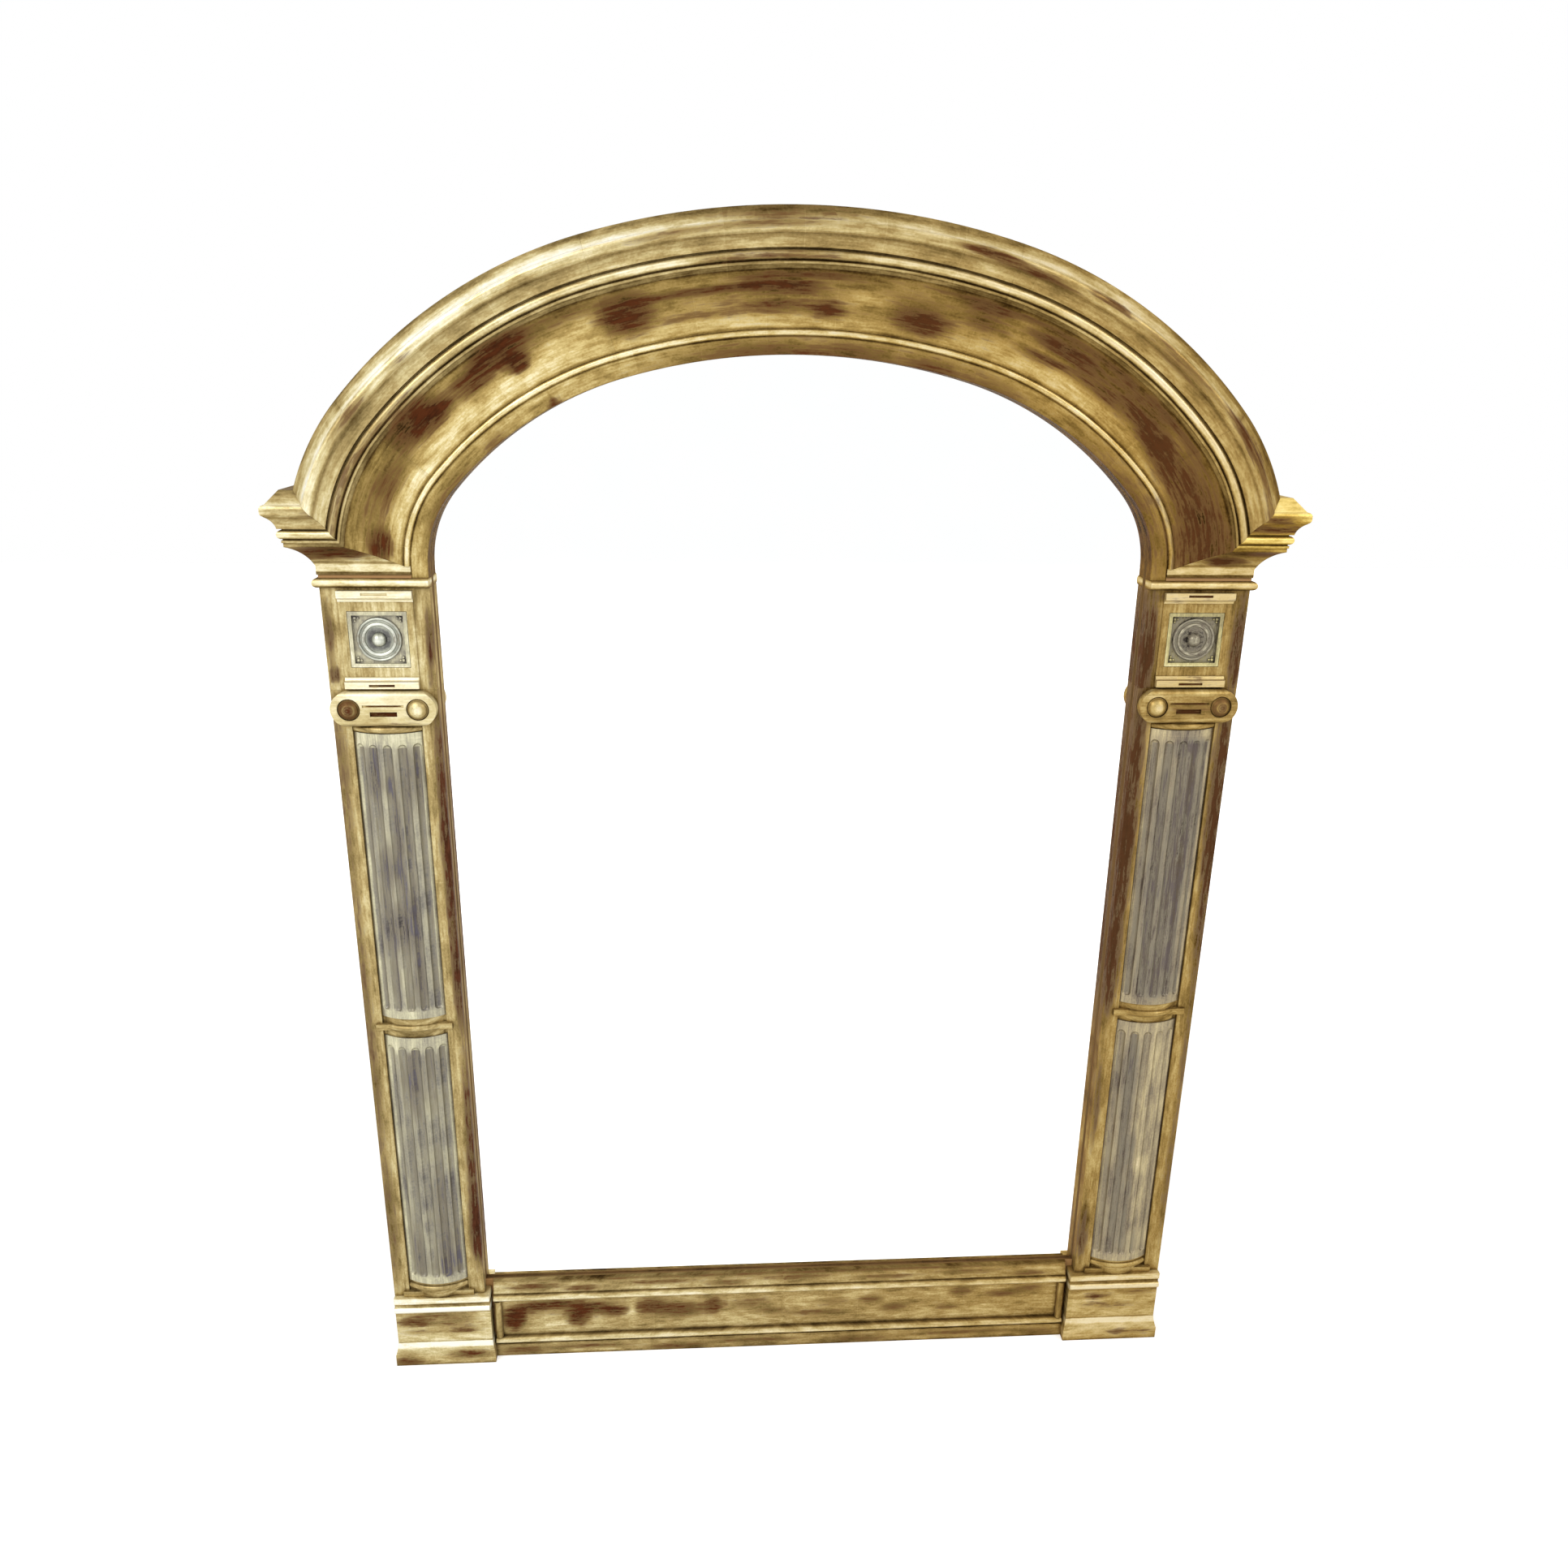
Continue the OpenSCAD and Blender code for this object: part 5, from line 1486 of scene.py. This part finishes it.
@dataclass
class Carcass(SubAssembly):
    """Everything behind the face: the pine frame, its glass, board, blocks and fixings."""

    plan: ArchPlan | None = None
    sill_z: float = 134 * MM
    arch_step: float = 20 * MM
    # How near the sight edge or the sill a face counts as on it, and how near the sill a point does
    near: float = 1 * MM
    sill_slack: float = 0.5 * MM

    def build(self) -> None:
        """Dresses the nodes that keep their own shapes, and gilds the carcass's sight edge."""
        standing = Pine("pine_planed_upright", "B98D58", "94693C", Grain.ALONG_Z).material()
        lying = Pine("pine_planed_level", "B98D58", "94693C", Grain.ALONG_X).material()
        board = Pine("pine_backboard_aged", "A67C4C", "846038", Grain.ALONG_Z, band_mm=14).material()
        for name in ("stile_core_left", "stile_core_right"):
            self._edged(name, standing)
        for name in ("rail_core", "arch_core_left", "arch_core_crown", "arch_core_right"):
            self._edged(name, lying)
        self.dress(lying, "ear_block_left", "ear_block_right", "backing_blocks")
        self.dress(board, "backboard")
        # Silvered glass mirrors its white surround, so only a hint of the glass's own tint is left
        glass = PlainMetal("glass_silvered_behind", "FFFFFF", "FEFFFF", 0.02, 60.0)
        zinc = PlainMetal("steel_zinc_plated", "B9B9B4", "8D8D88", 0.38, 2.0)
        brass = PlainMetal("brass_turned", "C9A65A", "96752F", 0.3, 1.0)
        self.dress(glass.material(), "mirror_glass")
        self.dress(zinc.material(), "keyhole_plates")
        self.dress(brass.material(), "keyhole_screws")

    def _edged(self, node: str, wood: Material) -> None:
        """Copies a member of the carcass and gilds the faces that look into the opening.

        Args:
            node: the member's node.
            wood: the finish of the rest of it.
        """
        bm = copied(self.nodes[node])
        if node.startswith("arch"):
            self.plan.cut_across(bm, self.arch_step)
        for face in bm.faces:
            at = face.calc_center_median()
            on_edge = abs(self.plan.locate(at.x, at.z)[1]) < self.near
            inward = abs(face.normal.y) < 0.5 and on_edge and at.z > self.sill_z
            ledge = face.normal.z > 0.9 and abs(at.z - self.sill_z) < self.near
            face.material_index = int(inward or ledge)
        finishes = (wood, SIGHT_EDGE.material())
        piece = finish_mesh(node + "_edged", bm, finishes, self._along, soften=0.0)
        self.keep(piece, Slot.CARCASS, node)

    def _along(self, at: Vector) -> tuple[float, float]:
        """The place along the sight edge and back from the face."""
        over_sill = at.z > self.sill_z + self.sill_slack
        return (self.plan.locate(at.x, at.z)[0] if over_sill else at.x), at.y


# ---- Studio ----


@dataclass(frozen=True)
class Studio:
    """Camera, plain light, white surround and pale floor."""

    camera_at: tuple[float, float, float] = (-0.12038, FACE_Y - 1.54872, 1.45867)
    turn: float = 0.070
    dip: float = 0.326
    roll: float = -0.015
    focal_px: float = 1516.5
    frame_px: float = 1932.0
    sensor: float = 36.0
    clip_start: float = 0.05
    # Name, place and power of each lamp, the side of its square and what it faces
    lamps: tuple[tuple[str, tuple[float, float, float], float], ...] = (
        ("lamp_left", (-2.1, -2.2, 3.1), 60.0), ("lamp_right", (2.3, -1.9, 2.9), 34.0),
    )
    lamp_side: float = 1.6
    lamp_aim: tuple[float, float, float] = (0, 0, 0.9)
    ambient: float = 0.5
    floor_half: float = 8.0
    # Where the lamps start to fall off on the floor and where its own white has made up for it,
    # with that white near the mirror and what it gains
    fall_off: tuple[float, float] = (0.8, 2.2)
    floor_glow: float = 0.5
    floor_gain: float = 0.5

    def build(self) -> None:
        """Makes camera, world, floor and lamps."""
        self._camera()
        self._world()
        self._floor()
        for name, at, power in self.lamps:
            self._lamp(name, at, power)

    def _camera(self) -> None:
        """Places the camera at the photograph's viewing angle."""
        data = bpy.data.cameras.new("camera")
        data.sensor_width = self.sensor
        data.lens = self.focal_px / self.frame_px * self.sensor
        data.clip_start = self.clip_start
        camera = linked("camera", data)
        right = Vector((math.cos(self.turn), -math.sin(self.turn), 0))
        ahead = Vector((math.sin(self.turn), math.cos(self.turn), 0))
        top = Vector((0, 0, 1))
        forward = ahead * math.cos(self.dip) - top * math.sin(self.dip)
        up = ahead * math.sin(self.dip) + top * math.cos(self.dip)
        rolled_right = right * math.cos(self.roll) - up * math.sin(self.roll)
        rolled_up = right * math.sin(self.roll) + up * math.cos(self.roll)
        pose = Matrix((rolled_right, rolled_up, -forward)).transposed().to_4x4()
        pose.translation = Vector(self.camera_at)
        camera.matrix_world = pose
        bpy.context.scene.camera = camera

    def _lamp(self, name: str, at: tuple[float, float, float], power: float) -> None:
        """Makes a large soft lamp that faces the middle of the mirror.

        Args:
            name: the lamp's name.
            at: its place.
            power: its power, in watts.
        """
        data = bpy.data.lights.new(name, "AREA")
        data.size = self.lamp_side
        data.energy = power
        lamp = linked(name, data)
        lamp.location = at
        lamp.rotation_mode = "QUATERNION"
        lamp.rotation_quaternion = (Vector(self.lamp_aim) - Vector(at)).to_track_quat("-Z", "Y")

    @staticmethod
    def _seen(tree: Tree) -> Socket:
        """Parts what sees the surround from what it lights.

        Args:
            tree: the node tree.

        Returns:
            A socket that is 1 for the camera, for gloss and through glass, and 0 for light on its
            way to a surface.
        """
        path = add(tree, "LightPath").outputs
        seen = path["Is Camera Ray"]
        for ray in ("Is Glossy Ray", "Is Transmission Ray"):
            seen = add(tree, "Math", {"operation": "MAXIMUM"}, i0=seen, i1=path[ray]).outputs[0]
        return seen

    def _world(self) -> None:
        """White to the camera, to gloss and through glass, and dimmer as a source of light."""
        world = bpy.data.worlds.new("surround")
        world.use_nodes = True
        bpy.context.scene.world = world
        tree = world.node_tree
        tree.nodes.clear()
        strength = weighted(tree, self.ambient, (self._seen(tree), 1.0 - self.ambient, 0.0))
        surround = add(tree, "Background", {"Color": (1, 1, 1, 1)}, Strength=strength)
        add(tree, "OutputWorld", Surface=surround.outputs[0])

    def _floor(self) -> None:
        """A pale floor that is white to the camera but for the soft shadow it keeps."""
        bm = bmesh.new()
        bmesh.ops.create_grid(bm, x_segments=1, y_segments=1, size=self.floor_half)
        mesh = bpy.data.meshes.new("floor")
        bm.to_mesh(mesh)
        bm.free()
        floor = linked("floor", mesh)
        material, tree, shader = new_material("floor_painted_white")
        shader.inputs["Roughness"].default_value = 0.9
        place = add(tree, "TexCoord").outputs["Object"]
        drift = add(tree, "TexNoise", {"Scale": 1.5, "Detail": 2.0}, Vector=place)
        ramp = add(tree, "ValToRGB", i0=drift.outputs[0])
        set_ramp(ramp, [(0.3, linear("F2F2F0")), (0.7, linear("F5F5F3"))])
        tree.links.new(ramp.outputs["Color"], shader.inputs["Base Color"])
        # Far from the mirror the lamps fall off, and the floor's own white makes up for it
        away = add(tree, "VectorMath", {"operation": "LENGTH"}, i0=place).outputs["Value"]
        far = eased(tree, away, *self.fall_off, self.floor_gain)
        own = weighted(tree, self.floor_glow, (far, 1.0, 0.0))
        glow = add(tree, "Math", {"operation": "MULTIPLY"}, i0=self._seen(tree), i1=own)
        shader.inputs["Emission Color"].default_value = (1, 1, 1, 1)
        tree.links.new(glow.outputs[0], shader.inputs["Emission Strength"])
        mesh.materials.append(material)


def main() -> None:
    """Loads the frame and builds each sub-assembly in order."""
    logging.basicConfig(level=logging.INFO, format="%(message)s")
    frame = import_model()
    bpy.context.scene.view_settings.view_transform = "Standard"
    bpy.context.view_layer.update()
    Studio().build()
    # The arch springs this far over the astragals, and the glass reaches this far behind the frame
    springing, overlap = 12 * MM, 8 * MM
    half_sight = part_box("pilaster_face_right")[0].x
    spring_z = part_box("astragal_right")[1].z + springing
    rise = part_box("mirror_glass")[1].z - overlap - spring_z
    plan = ArchPlan(half_sight, spring_z, rise)
    LOG.info("arch radii %.4f %.4f", plan.shoulder_r, plan.crown_r)
    nodes = frame["nodes"]
    for assembly in (
        Arch(nodes, plan=plan), Cornice(nodes), Frieze(nodes), Capital(nodes), Pilaster(nodes),
        Plinth(nodes), BottomRail(nodes), Carcass(nodes, plan=plan),
    ):
        assembly.build()
        assembly.report()


if __name__ == "__main__":
    main()
